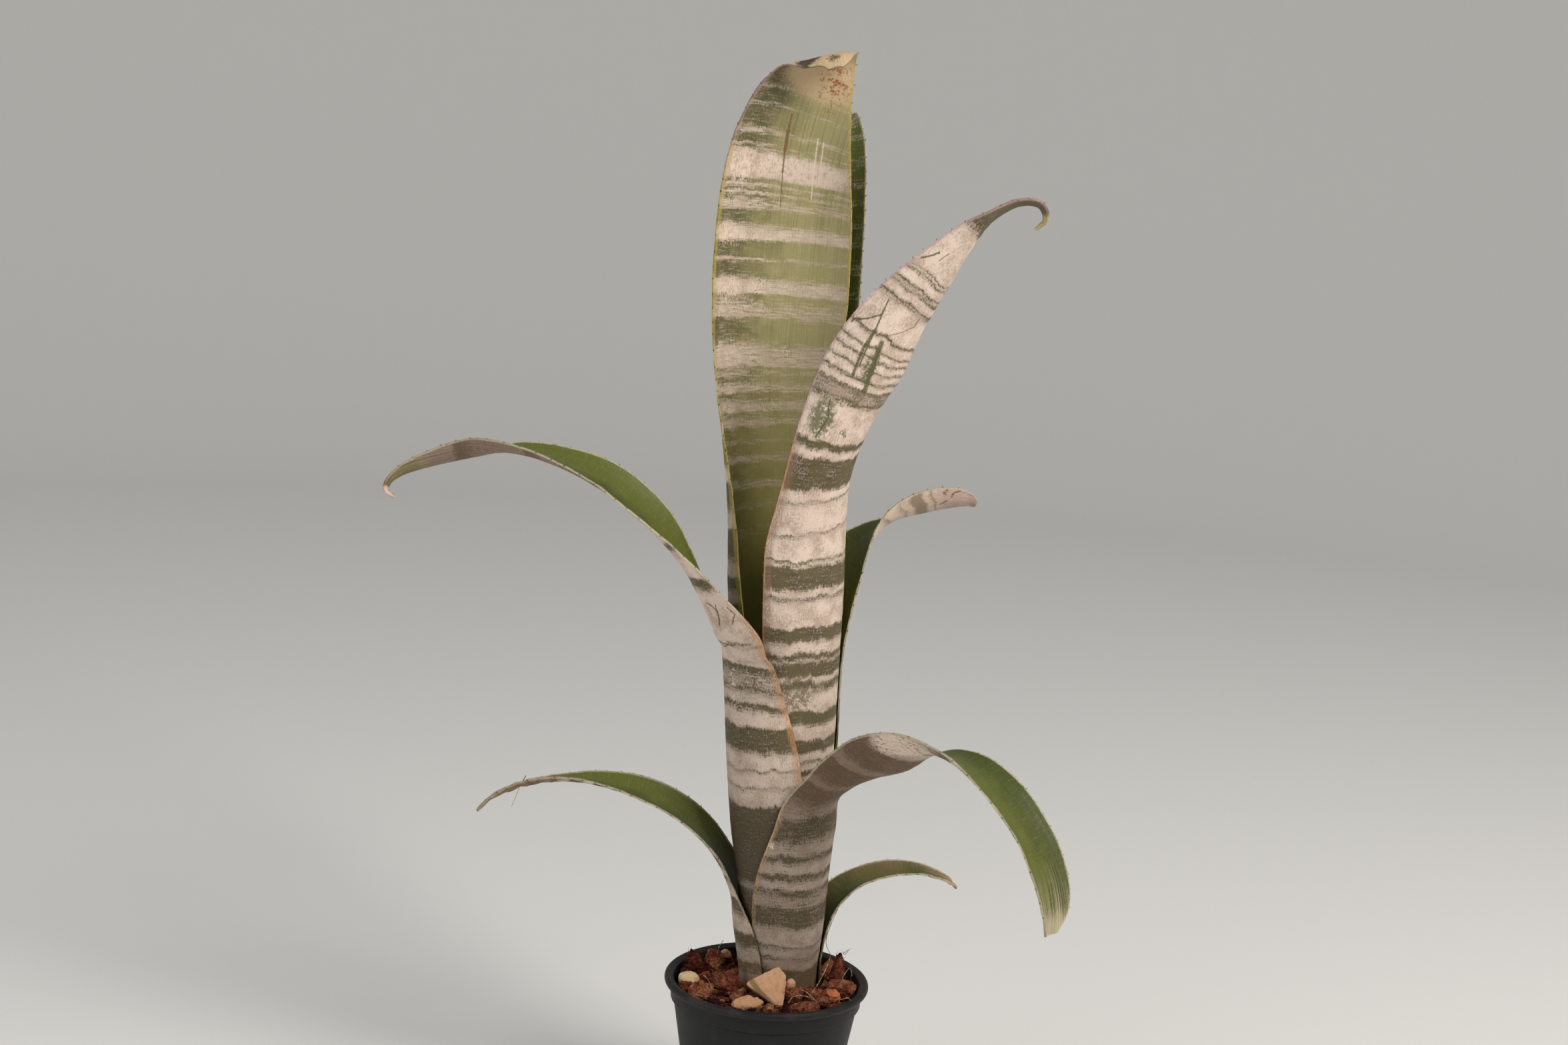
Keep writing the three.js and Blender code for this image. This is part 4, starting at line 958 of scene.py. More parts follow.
def leaf_material(leaf, look):
    """The leaf's two faces from its own map: millimetres across and along, and which face."""
    sh = Shader(leaf.name)
    spot = sh.attribute("leaf_map", 1)
    across, along, _ = sh.split(spot)
    edge = sh.attribute("edge")
    margin = sh.attribute("margin")
    upper = sh.smooth(sh.attribute("side"), -0.1, 0.1)
    lower = 1 - upper
    faces = {"upper": upper, "lower": lower, "both": upper + lower}
    flat_spot = sh.node("ShaderNodeCombineXYZ", {}, {0: across, 1: along})
    spikes = sh.noise(sh.stretch(spot, 2.6, 0.5), 3, 0.6)
    grain = sh.noise(sh.stretch(spot, 4.5, 3), 3, 0.75)
    specks = sh.noise(sh.stretch(spot, 1.5, 1.2), 5, 0.75)
    lines = sh.noise(sh.stretch(spot, 0.16, 1.5), 3, 0.6)
    cloud = sh.noise(sh.stretch(spot, 0.13, 0.11), 3, 0.6)
    veins = sh.noise(sh.stretch(spot, 1.7, 0.015), 3, 0.6)
    blotches = sh.noise(sh.stretch(spot, 0.6, 0.5), 5, 0.7)
    wander = (sh.noise(sh.stretch(spot, 0.1, 0.02), 2) - 0.5) * look.band_wave
    wander = wander + (sh.noise(sh.stretch(spot, 0.33, 0.05), 2) - 0.5) * 2.2
    wander = wander + (sh.noise(sh.stretch(spot, 0.9, 0.12), 3, 0.6) - 0.5) * 2.2
    wave = along + wander * (1 - upper * 0.5)

    # How much powder lies at each place: bands, broken by clouds, cross lines, lengthwise spikes and grain
    broken = (cloud - 0.5) * 1.1 + (lines - 0.5) * 0.9 + (spikes - 0.5) * 1.1 + (grain - 0.5) * 0.9
    broken = (broken + (specks - 0.5) * 2) * look.raggedness
    flecks = sh.noise(sh.stretch(spot, 2.6, 0.9, 3), 3, 0.6)
    marks = sh.smooth(flecks, 0.6, 0.68) * sh.smooth(cloud, 0.42, 0.6)
    thin = cloud + (specks - 0.5) * 0.9 + (spikes - 0.5) * 0.6
    powder = sh.mix(sh.smooth(thin, 0.36, 0.72), look.powder, look.powder_shade)
    powder = sh.mix(marks * 0.55, powder, look.scratch_brown)

    # Lower face: powder over an olive-brown ground
    ground = sh.mix(sh.smooth(cloud + (spikes - 0.5) * 0.6, 0.35, 0.65), look.ground, look.ground_shade)
    ground = sh.mix(sh.smooth(veins, 0.5, 0.8) * 0.35, ground, look.grey_olive)
    cover = sh.bands(wave, leaf.lower_bands) + broken + leaf.dust
    mask = sh.smooth(cover, 0.2, 0.9)
    under = sh.mix(mask, ground, powder)

    # Upper face: one colour towards each margin, fine veins, and pale bands where the leaf has them
    left, right = (getattr(look, name) for name in leaf.upper_colours)
    top = sh.mix(sh.smooth(margin + (cloud - 0.5) * 1.2, -0.75, 0.35), left, right)
    top = sh.mix(sh.smooth(veins, 0.45, 0.7) * 0.24, top, look.dark_streak)
    top = sh.mix(sh.smooth(specks + (lines - 0.5) * 0.9, 0.5, 0.85) * 0.2, top, look.powder_shade)
    if leaf.upper_bands:
        top = sh.mix(sh.falling(wave, 150, 250) * 0.75, top, look.yellow_green)
        bare = sh.smooth(margin + (cloud - 0.5) * 1.2, -0.7, 0.1) * 0.3
        upper_cover = sh.bands(wave, leaf.upper_bands) + broken * 1.15 + (lines - 0.5) * 0.8 + 0.2 - bare
        top = sh.mix(sh.smooth(upper_cover, 0.1, 1) * 0.92, top, powder)
    colour = sh.mix(upper, under, top)

    # Painted shade: a leaf's back is painted darker and browner towards the pot, where less light reaches it
    old = sh.falling(along + (cloud - 0.5) * 60, 60, 220) * lower * 0.24
    colour = sh.mix(old, colour, look.old_back)

    # The sheath's foot is paler and browner, and the tip dries
    colour = sh.mix(sh.falling(along + (spikes - 0.5) * 8, 4, 26) * 0.5, colour, look.tan)
    dry_from, dry_full = leaf.dry
    dried = sh.smooth(along + (cloud - 0.5) * 14 + (spikes - 0.5) * 8, dry_from, dry_full)
    withered = sh.mix(sh.smooth(veins + (grain - 0.5) * 0.6, 0.42, 0.7), look.dried, look.dried_dark)
    colour = sh.mix(dried * look.dryness, colour, withered)
    for face, start, end, soft, patch, strength in leaf.patches:
        ragged = along + (grain + spikes - 1) * soft
        share = sh.smooth(ragged, start - soft / 2, start + soft / 2)
        share = share * sh.falling(ragged, end - soft / 2, end + soft / 2) * strength
        colour = sh.mix(share * faces[face], colour, getattr(look, patch))
    for face, start, end, streak, strength in leaf.streaks:
        share = sh.smooth(along + (veins - 0.5) * 30, start, end)
        share = share * sh.smooth(veins + (grain - 0.5) * 0.4, 0.44, 0.6)
        colour = sh.mix(share * faces[face] * strength, colour, getattr(look, streak))
    for face, middle, reach, spot_colour, strength, thinness in leaf.spots:
        ragged = along + (specks + spikes - 1) * 6
        share = sh.near_spot(ragged, across + (blotches - 0.5) * 8, middle, reach)
        share = share * sh.smooth(blotches + (specks - 0.5) * 0.6, thinness, thinness + 0.1) * strength
        colour = sh.mix(share * faces[face], colour, getattr(look, spot_colour))
    for side, start, end, width, strip, strength in leaf.strips:
        share = sh.falling(edge + (specks + veins - 1) * 0.9 * width, 0.5 * width, 1.2 * width)
        share = share * sh.smooth(margin * side, 0, 0.02)
        share = share * sh.smooth(along, start - 3, start + 3) * sh.falling(along, end - 3, end + 3)
        share = share * sh.smooth(specks + spikes, 0.7, 1.1) * strength
        colour = sh.mix(share, colour, getattr(look, strip))
    torn = sh.node("ShaderNodeCombineXYZ", {}, {0: (specks - 0.5) * 1.4, 1: (spikes - 0.5) * 1.4})
    torn_spot = sh.vector_maths("ADD", flat_spot, torn)
    for face, half_width, scratch, points in leaf.scratches:
        share = sh.near_line(torn_spot, points, half_width * 1.3) * faces[face]
        colour = sh.mix(share * sh.smooth(grain, 0.3, 0.5), colour, getattr(look, scratch))

    height = veins * 0.7 + spikes * 0.4 + mask * lower * 0.25 + grain * 0.15 + dried * specks * 1.2
    roughness = 0.46 + lower * 0.2 + dried * 0.15
    return sh.finish(colour, roughness, sh.bump(height, 0.3 * MM, 0.6), 0.25)


def spine_material(look):
    """Thorns in two mixed browns."""
    sh = Shader("leaf_spine")
    spread = sh.noise(sh.node("ShaderNodeTexCoord", {}, {}, 3), 2, 0.5, 900)
    colour = sh.mix(sh.smooth(spread, 0.35, 0.65), look.spine, look.spine_root)
    return sh.finish(colour, 0.5)


def spline(rows, place):
    """A Catmull-Rom spline through rows of numbers, read at a place counted in rows."""
    last = len(rows) - 1
    i = min(max(math.floor(place), 0), last - 1)
    s = place - i
    found = []
    for k, p1 in enumerate(rows[i]):
        p2 = rows[i + 1][k]
        p0 = rows[i - 1][k] if i > 0 else 2 * p1 - p2
        p3 = rows[i + 2][k] if i + 2 <= last else 2 * p2 - p1
        cubic = 3 * (p1 - p2) + p3 - p0
        found.append(p1 + 0.5 * s * (p2 - p0 + s * (2 * p0 - 5 * p1 + 4 * p2 - p3 + s * cubic)))
    return found


class Row:
    """A leaf's cross-section at a place counted in stations, in millimetres."""

    def __init__(self, stations, place):
        x, y, z, nx, ny, nz, self.half_width, curl = spline(stations, place)
        step = 0.01
        ahead = Vector(spline(stations, place + step)[:3])
        behind = Vector(spline(stations, place - step)[:3])
        self.middle = Vector((x, y, z))
        self.along = (ahead - behind).normalized()
        facing = Vector((nx, ny, nz))
        self.facing = (facing - self.along * facing.dot(self.along)).normalized()
        self.across = self.along.cross(self.facing)
        self.bend = math.radians(curl)
        self.radius = self.half_width / self.bend

    def point(self, v):
        turn = v * self.bend
        return (
            self.middle
            + self.across * (self.radius * math.sin(turn))
            + self.facing * (self.radius * (1 - math.cos(turn)))
        )

    def normal(self, v):
        turn = v * self.bend
        return self.facing * math.cos(turn) - self.across * math.sin(turn)

    def outward(self, v):
        turn = v * self.bend
        return self.across * math.cos(turn) + self.facing * math.sin(turn)


def measure_leaf(stations):
    """Pairs of place and millimetres along the middle, close together, and the whole length."""
    pairs = [(0, 0)]
    last = Vector(stations[0][:3])
    along = 0
    steps = MEASURE_STEPS * (len(stations) - 1)
    for i in range(1, steps + 1):
        place = i / MEASURE_STEPS
        here = Vector(spline(stations, place)[:3])
        along += (here - last).length
        pairs.append((place, along))
        last = here
    return pairs, along


def place_at(pairs, along):
    """The place counted in stations at a distance along the leaf."""
    for (p0, a0), (p1, a1) in zip(pairs, pairs[1:]):
        if along <= a1:
            return p0 + (p1 - p0) * (along - a0) / (a1 - a0)
    return pairs[-1][0]


def dryness_at(leaf, along):
    start, full = leaf.dry
    share = min(max((along - start) / (full - start), 0), 1)
    return share * share * (3 - 2 * share)


def grown_parts(grown, kind):
    """The parts of one kind that an extrusion made."""
    return [part for part in grown["geom"] if isinstance(part, kind)]


def leaf_mesh(leaf, look, index):
    """The blade: a flat grid given a second sheet, then every vertex is laid on the leaf's curve."""
    pairs, length = measure_leaf(leaf.stations)
    count = round(length * MM / look.row_gap)
    bm = bmesh.new()
    layers = {name: bm.verts.layers.float.new(name) for name in ("edge", "margin", "side")}
    leaf_map = bm.verts.layers.float_vector.new("leaf_map")
    bmesh.ops.create_grid(bm, x_segments=look.columns, y_segments=count, size=1)
    lower = list(bm.verts)
    grown = bmesh.ops.extrude_face_region(bm, geom=bm.faces[:])
    upper = grown_parts(grown, bmesh.types.BMVert)
    rows = {}
    for face, verts in ((-1, lower), (1, upper)):
        for vert in verts:
            v = vert.co.x
            i = round((vert.co.y + 1) / 2 * count)
            along = length * i / count
            if i not in rows:
                rows[i] = Row(leaf.stations, place_at(pairs, along))
            row = rows[i]
            thickness = (look.thickness - (look.thickness - look.margin_thickness) * v * v) / MM
            normal = row.normal(v)
            point = row.point(v)
            dry = dryness_at(leaf, along)
            crease = noise.noise(point * 0.55)
            crease = crease * (0.12 + dry * look.wrinkle / MM)
            ripple = noise.noise(Vector((along * 0.11, 9.0 * v, index * 5.0))) * look.ripple / MM
            lift = face * thickness / 2 + crease + ripple * abs(v) ** 3
            vert.co = (point + normal * lift) * MM
            vert[leaf_map] = (v * row.half_width, along, LEAF_MAP_STEP * index + FACE_MAP_STEP * face)
            vert[layers["edge"]] = row.half_width * (1 - abs(v))
            vert[layers["margin"]] = v
            vert[layers["side"]] = face
    bmesh.ops.recalc_face_normals(bm, faces=bm.faces[:])
    add_spines(bm, leaf, look, pairs, length)
    return bm


def mesh_from(bm, name, smooth=False):
    """The mesh of a bmesh, which is then freed."""
    if smooth:
        for face in bm.faces:
            face.smooth = True
    mesh = bpy.data.meshes.new(name)
    bm.to_mesh(mesh)
    bm.free()
    return mesh


def join(bm, part):
    """Adds a small separate mesh to a larger one."""
    mesh = mesh_from(part, "part")
    bm.from_mesh(mesh)
    bpy.data.meshes.remove(mesh)


def add_spines(bm, leaf, look, pairs, length):
    """Hooked thorns along both margins, smaller where the leaf is narrow."""
    thorns = bmesh.new()
    pick = random.Random(leaf.name)
    along = leaf.spines_from
    while along < length - SPINELESS_TIP:
        row = Row(leaf.stations, place_at(pairs, along))
        for v in (-1, 1):
            size = pick.uniform(0.75, 1.1) * (0.6 + 0.4 * min(1, row.half_width / 8))
            away = (row.outward(v) * v * 0.8 + row.along * 0.7).normalized()
            depth = look.spine_length * size
            base = row.point(v) * MM - away * depth * 0.25
            turn = away.to_track_quat("Z", "Y").to_matrix().to_4x4()
            bmesh.ops.create_cone(
                thorns,
                cap_ends=True,
                cap_tris=True,
                segments=6,
                radius1=look.spine_radius * size,
                radius2=look.spine_radius * 0.1,
                depth=depth * 1.3,
                matrix=Matrix.Translation(base + away * depth / 2) @ turn,
            )
        along += look.spine_pitch / MM * pick.uniform(0.8, 1.2)
    for face in thorns.faces:
        face.material_index = 1
    join(bm, thorns)


def finish_piece(name, bm, materials, replaced=(), crease=40):
    """A mesh at the origin that rides on the body. Edges that turn by over crease degrees are sharp."""
    mesh = mesh_from(bm, name, smooth=True)
    mesh.set_sharp_from_angle(angle=math.radians(crease))
    for material in materials:
        mesh.materials.append(material)
    piece = bpy.data.objects.new(name, mesh)
    bpy.context.scene.collection.objects.link(piece)
    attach(piece, BODY)
    if replaced:
        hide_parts(*replaced)
    return piece


def add_thread(bm, points, radius, taper=0.5, sides=5):
    """A thin round fibre through points in millimetres. Each step of its face is extruded and moved on."""
    thread = bmesh.new()
    steps = THREAD_STEPS * (len(points) - 1)
    path = [Vector(spline(points, i / THREAD_STEPS)) * MM for i in range(steps + 1)]
    turn = (path[1] - path[0]).to_track_quat("Z", "Y")
    bmesh.ops.create_circle(thread, cap_ends=True, segments=sides, radius=1)
    face = thread.faces[:][0]
    moved = thread.verts[:]
    last_matrix = Matrix.Identity(4)
    for i, here in enumerate(path):
        heading = (path[min(i + 1, steps)] - path[max(i - 1, 0)]).normalized()
        turn = (turn @ Vector((0, 0, 1))).rotation_difference(heading) @ turn
        size = radius * (1 - (1 - taper) * i / steps)
        matrix = Matrix.Translation(here) @ turn.to_matrix().to_4x4() @ Matrix.Scale(size, 4)
        if i > 0:
            grown = bmesh.ops.extrude_face_region(thread, geom=[face, *face.edges])
            moved = grown_parts(grown, bmesh.types.BMVert)
            face = grown_parts(grown, bmesh.types.BMFace)[0]
        bmesh.ops.transform(thread, matrix=matrix @ last_matrix.inverted(), verts=moved)
        last_matrix = matrix
    bmesh.ops.recalc_face_normals(thread, faces=thread.faces[:])
    join(bm, thread)


def random_vector(pick, lowest=-1):
    """A vector whose parts are between -1 and 1, and whose Z part isn't under lowest."""
    return Vector((pick.uniform(-1, 1), pick.uniform(-1, 1), pick.uniform(lowest, 1)))


def random_from(seed):
    """The same repeatable numbers from 0 to 1 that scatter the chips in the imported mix."""
    state = seed
    while True:
        state = (state * 1664525 + 1013904223) % 4294967296
        yield state / 4294967296


def turned(angles):
    """A turn about X, then Y, then Z, in degrees."""
    x, y, z = (math.radians(angle) for angle in angles)
    return Matrix.Rotation(z, 4, "Z") @ Matrix.Rotation(y, 4, "Y") @ Matrix.Rotation(x, 4, "X")


def add_chunk(bm, seed, size, place, turn, cuts=9, subdivisions=4, tint=None):
    """A broken chunk: a ball whose corners are cut by random planes, torn along its fibres, then placed."""
    chunk = bmesh.new()
    chip_map = chunk.verts.layers.float_vector.new("chip_map")
    tint_layer = chunk.verts.layers.float.new("tint")
    bmesh.ops.create_icosphere(chunk, subdivisions=subdivisions, radius=0.5)
    pick = random.Random(seed)
    planes = []
    for _ in range(cuts):
        way = random_vector(pick).normalized()
        planes.append((way, pick.uniform(*CHUNK_CUTS)))
    if tint is None:
        tint = pick.random()
    shift = Vector((seed * 3.1 % 97, seed * 7.7 % 89, seed * 1.3 % 83))
    matrix = Matrix.Translation(place) @ turned(turn)
    for vert in chunk.verts:
        point = vert.co * CHUNK_SWELL
        for way, reach in planes:
            over = point.dot(way) - reach
            if over > 0:
                point = point - way * over * CHUNK_FLATNESS
        own = Vector((point.x * size[0], point.y * size[1], point.z * size[2]))
        fibres = noise.fractal(Vector((own.x * 0.2, own.y * 1.1, own.z * 1.1)) + shift, 0.6, 2.1, 5)
        ridges = 0.5 - abs(noise.noise(Vector((own.x * 0.35, own.y * 1.4, own.z * 1.4)) + shift)) * 2
        lumps = noise.noise(own * 0.3 + shift)
        rough = fibres * 0.9 + ridges * 0.45 + lumps * 0.5
        own = own * (1 + CHUNK_ROUGHNESS * rough * CHUNK_ROUGH_SIZE / max(CHUNK_ROUGH_SIZE, *size))
        vert[chip_map] = own + shift
        vert[tint_layer] = tint
        vert.co = (matrix @ own) * MM
    keep_in_pot(chunk.verts)
    join(bm, chunk)


def grain_position(sh):
    """Object coordinates, in millimetres, for materials without a map of their own."""
    spot = sh.node("ShaderNodeTexCoord", {}, {}, 3)
    return sh.stretch(spot, 1 / MM, 1 / MM, 1 / MM)


def bark_material(look):
    """Bark: long torn fibres with dark gaps, partly painted shade in its pits, every chip with its own
    shade.
    """
    sh = Shader("bark")
    spot = sh.attribute("chip_map", 1)
    tint = sh.attribute("tint")
    strands = sh.noise(sh.stretch(spot, 0.3, 1.5, 1.5), 5, 0.7)
    fine = sh.noise(sh.stretch(spot, 1.4, 4.5, 4.5), 4, 0.75)
    pits = sh.noise(sh.stretch(spot, 0.8, 1.3, 1.3), 4, 0.65)
    blotch = sh.noise(sh.stretch(spot, 0.3, 0.3, 0.3), 3)
    shade = strands * 0.75 + fine * 0.55 + (tint - 0.5) * 0.7 + (blotch - 0.5) * 0.9
    colour = sh.mix(sh.smooth(shade, 0.36, 0.62), look.dark_bark, look.red_bark)
    colour = sh.mix(sh.smooth(shade, 0.56, 0.84), colour, look.salmon_bark)
    colour = sh.mix(sh.smooth(shade + (fine - 0.5) * 0.8, 0.84, 1.05), colour, look.tan_bark)
    # Painted shade: the pits, where the bump is lowest, are painted dark bark
    colour = sh.mix(sh.falling(pits + (fine - 0.5) * 0.3, 0.36, 0.5) * 0.75, colour, look.dark_bark)
    height = strands + fine * 0.7 + pits * 0.8
    return sh.finish(colour, 0.9, sh.bump(height, 1.1 * MM, 0.9), 0.15)


def stone_material(name, main, shade):
    """Stone or rust: one colour with soft stains and few pits."""
    sh = Shader(name)
    spot = grain_position(sh)
    blotch = sh.noise(spot, 3, 0.6, 0.25)
    fine = sh.noise(spot, 4, 0.7, 1.6)
    colour = sh.mix(sh.smooth(blotch + (fine - 0.5) * 0.5, 0.42, 0.75) * 0.6, main, shade)
    colour = sh.mix(sh.falling(fine, 0.3, 0.4) * 0.6, colour, shade)
    return sh.finish(colour, 0.85, sh.bump(fine + blotch, 0.35 * MM, 0.6), 0.25)


def wood_chip_material(look):
    """The tan chips: smooth wood with fine grain, and an olive groove across the wedge."""
    sh = Shader("wood_chip")
    spot = grain_position(sh)
    x, _, z = sh.split(spot)
    strands = sh.noise(sh.stretch(spot, 0.9, 0.9, 0.25), 4, 0.6)
    fine = sh.noise(sh.stretch(spot, 3, 3, 2), 3, 0.7)
    colour = sh.mix(sh.smooth(strands + (fine - 0.5) * 0.3, 0.4, 0.75) * 0.7, look.tan, look.tan_shade)
    ragged = {0: x + (fine - 0.5) * 0.5, 1: z + (strands - 0.5) * 0.8}
    groove = sh.near_line(sh.node("ShaderNodeCombineXYZ", {}, ragged), GROOVE, GROOVE_WIDTH)
    colour = sh.mix(groove * 0.8, colour, look.groove)
    return sh.finish(colour, 0.8, sh.bump(strands + fine * 0.4 - groove * 0.6, 0.4 * MM, 0.6), 0.25)


def plastic_material(look):
    """Black moulded plastic, rubbed in patches and dusty near its lip."""
    sh = Shader("pot_plastic")
    spot = grain_position(sh)
    _, _, z = sh.split(spot)
    haze = sh.noise(spot, 3, 0.6, 0.08)
    grain = sh.noise(spot, 4, 0.7, 1.3)
    streak = sh.noise(sh.stretch(spot, 0.5, 0.5, 0.04), 3)
    rubbed = sh.smooth(haze + (grain - 0.5) * 0.5, 0.5, 0.75) * 0.35
    colour = sh.mix(rubbed, look.plastic, look.scuff)
    dusty = sh.smooth(z + (grain - 0.5) * 6, POT_TOP - 5, POT_TOP + 1) * sh.smooth(haze, 0.4, 0.7)
    colour = sh.mix(dusty * 0.15, colour, look.dust)
    specks = sh.smooth(grain, 0.66, 0.74) * sh.smooth(z, POT_TOP - 12, POT_TOP) * 0.35
    colour = sh.mix(specks, colour, look.dust)
    roughness = 0.42 + haze * 0.2 + dusty * 0.2
    height = grain * 0.3 + streak
    return sh.finish(colour, roughness, sh.bump(height, 0.12 * MM, 0.4), 0.3)


def stem_material(look):
    """A pale, stranded core that turns brown down in the mix."""
    sh = Shader("stem_fibre")
    spot = grain_position(sh)
    _, _, z = sh.split(spot)
    strands = sh.noise(sh.stretch(spot, 1.5, 1.5, 0.12), 4, 0.6)
    colour = sh.mix(sh.smooth(strands, 0.35, 0.65), look.root, look.stem)
    colour = sh.mix(sh.falling(z, SOCKET_FLOOR, SOCKET_FLOOR + 6), colour, look.root)
    return sh.finish(colour, 0.85, sh.bump(strands, 0.6 * MM, 0.7), 0.2)


def fibre_material(name, main, shade):
    """Fibres in two mixed colours."""
    sh = Shader(name)
    spot = grain_position(sh)
    colour = sh.mix(sh.smooth(sh.noise(spot, 3, 0.6, 0.9), 0.4, 0.65), shade, main)
    return sh.finish(colour, 0.75, specular=0.25)


def floor_material(look):
    return Shader("studio_floor").finish(look.floor, 0.9, specular=0.1)


def pot_radius(z):
    """The wall's outer radius below the collar."""
    top = COLLAR_RADIUS - COLLAR_STEP
    return FOOT_RADIUS + (top - FOOT_RADIUS) * z / COLLAR_FOOT


def spin_profile(bm, profile, steps):
    """A closed round body from radius and height pairs in millimetres, from the axis and back to it."""
    verts = [bm.verts.new((r * MM, 0, z * MM)) for r, z in profile]
    edges = [bm.edges.new(pair) for pair in zip(verts, verts[1:])]
    bmesh.ops.spin(
        bm,
        geom=verts + edges,
        axis=(0, 0, 1),
        cent=(0, 0, 0),
        angle=2 * math.pi,
        steps=steps,
        use_merge=True,
    )
    bmesh.ops.remove_doubles(bm, verts=bm.verts[:], dist=MERGE_DISTANCE)
    bmesh.ops.recalc_face_normals(bm, faces=bm.faces[:])


def arc(centre_r, centre_z, reach_r, reach_z, start, stop, steps):
    """Radius and height pairs on an ellipse, from one angle in degrees to another."""
    made = []
    for i in range(steps + 1):
        turn = math.radians(start + (stop - start) * i / steps)
        made.append((centre_r + reach_r * math.cos(turn), centre_z + reach_z * math.sin(turn)))
    return made


def pot_profile():
    """The pot's section, from the middle of its underside, over the lip, to the middle of its floor."""
    lip_z = POT_TOP - LIP_HEIGHT / 2
    lip_r = LIP_RADIUS - LIP_WIDTH / 2
    return [
        (0, 0),
        (FOOT_RADIUS - FOOT_RIM, 0),
        *arc(FOOT_RADIUS - FOOT_ROUND, FOOT_ROUND, FOOT_ROUND, FOOT_ROUND, -90, 0, 5),
        *[(pot_radius(z), z) for z in WALL_HEIGHTS],
        *arc(COLLAR_RADIUS - COLLAR_STEP - 0.1, COLLAR_FOOT - 1.6, 0.1, 0.4, 0, 60, 2),
        *arc(COLLAR_RADIUS - COLLAR_ROUND, COLLAR_FOOT - 0.1, COLLAR_ROUND, COLLAR_ROUND, -60, 0, 4),
        (COLLAR_RADIUS, COLLAR_FOOT + 3),
        (COLLAR_RADIUS, lip_z - LIP_HEIGHT / 2 - 0.3),
        *arc(lip_r, lip_z, LIP_WIDTH / 2, LIP_HEIGHT / 2, -80, 100, 14),
        *arc(COLLAR_BORE + COLLAR_ROUND, POT_TOP - LIP_INNER_DROP, COLLAR_ROUND, COLLAR_ROUND, 110, 180, 3),
        (COLLAR_BORE, COLLAR_FOOT + 0.4),
        (pot_radius(INNER_WALL_TOP) - WALL, INNER_WALL_TOP),
        (pot_radius(INNER_WALL_MIDDLE) - WALL, INNER_WALL_MIDDLE),
        *arc(pot_radius(FLOOR) - WALL - 1, FLOOR + 1, 1, 1, 0, -90, 4),
        (0, FLOOR),
    ]


def round_edges(bm, reach):
    """Rounds every edge of a mesh, as far as reach from it."""
    bmesh.ops.bevel(
        bm,
        geom=bm.edges[:],
        offset=reach,
        affect="EDGES",
        segments=2,
        profile=0.5,
        material=-1,
        clamp_overlap=True,
    )


def slot_cutter(scene, look):
    """Rounded blocks round the pot's heel, in the shape of its drainage slots."""
    bm = bmesh.new()
    for i in range(SLOTS):
        turn = Matrix.Rotation(2 * math.pi * (i + 0.5) / SLOTS, 4, "Z")
        shift = Matrix.Translation(((FOOT_RADIUS + 1) * MM, 0, 0))
        scale = Matrix.Diagonal((*[side * MM for side in SLOT_SIZE], 1))
        bmesh.ops.create_cube(bm, size=1, matrix=turn @ shift @ scale)
    round_edges(bm, look.corner)
    cutter = bpy.data.objects.new("slots", mesh_from(bm, "slots"))
    scene.collection.objects.link(cutter)
    return cutter


def cut_away(piece, cutter):
    """Cuts the cutter's shape out of the piece, and applies it."""
    boolean = piece.modifiers.new("slots", "BOOLEAN")
    boolean.operation = "DIFFERENCE"
    boolean.solver = "EXACT"
    boolean.object = cutter
    evaluated = piece.evaluated_get(bpy.context.evaluated_depsgraph_get())
    mesh = bpy.data.meshes.new_from_object(evaluated)
    piece.modifiers.clear()
    piece.data = mesh
    bpy.data.objects.remove(cutter)


def polar(radius, azimuth):
    """X and Y of a place on a ring round the pot's middle."""
    return radius * math.cos(azimuth), radius * math.sin(azimuth)


def from_socket(x, y):
    """How far a place in the mix is from the middle of the hole for the plant's foot."""
    hole_x, hole_y = axis_at(SOCKET_FLOOR)
    return math.hypot(x - hole_x, y - hole_y)


def at_socket(x, y, reach):
    """A place in the mix moved straight towards or from the middle of that hole, until it is reach away."""
    hole_x, hole_y = axis_at(SOCKET_FLOOR)
    grow = reach / max(from_socket(x, y), 0.01)
    return hole_x + (x - hole_x) * grow, hole_y + (y - hole_y) * grow


def drawn_in(x, y, reach):
    """A place in the mix moved towards the pot's middle if it is further than reach from it."""
    far = math.hypot(x, y)
    if far > reach:
        return x * reach / far, y * reach / far
    return x, y


def clear_place(x, y, room):
    """A place in the mix moved clear of the plant's foot and of the pot's wall."""
    if from_socket(x, y) < SOCKET_RADIUS + room:
        x, y = at_socket(x, y, SOCKET_RADIUS + room)
    return drawn_in(x, y, MIX_REACH)


def keep_in_pot(verts):
    """Moves vertices out of the pot's wall and out of the plant's hole, to the clearance there."""
    for vert in verts:
        x, y, z = vert.co / MM
        reach = COLLAR_BORE - WALL_GAP
        if z <= BORE_CLEAR_FROM:
            reach = min(pot_radius(min(z, INNER_WALL_TOP)) - WALL, COLLAR_BORE) - WALL_GAP
        x, y = drawn_in(x, y, reach)
        if z > SOCKET_FLOOR and from_socket(x, y) < SOCKET_RADIUS:
            x, y = at_socket(x, y, SOCKET_RADIUS)
        vert.co = Vector((x, y, z)) * MM


def crumble(x, y, fineness):
    """The crumbly relief of the mix at a place."""
    return noise.fractal(Vector((x * fineness, y * fineness, 0)), 0.75, 2.1, 4)


def mix_surface(x, y):
    """Height of the mix's top: crowned, and crumbly."""
    share = min(math.hypot(x, y) / (pot_radius(MIX_EDGE) - WALL), 1)
    return MIX_CROWN - (MIX_CROWN - MIX_EDGE) * share ** 3 + crumble(x, y, 0.35)


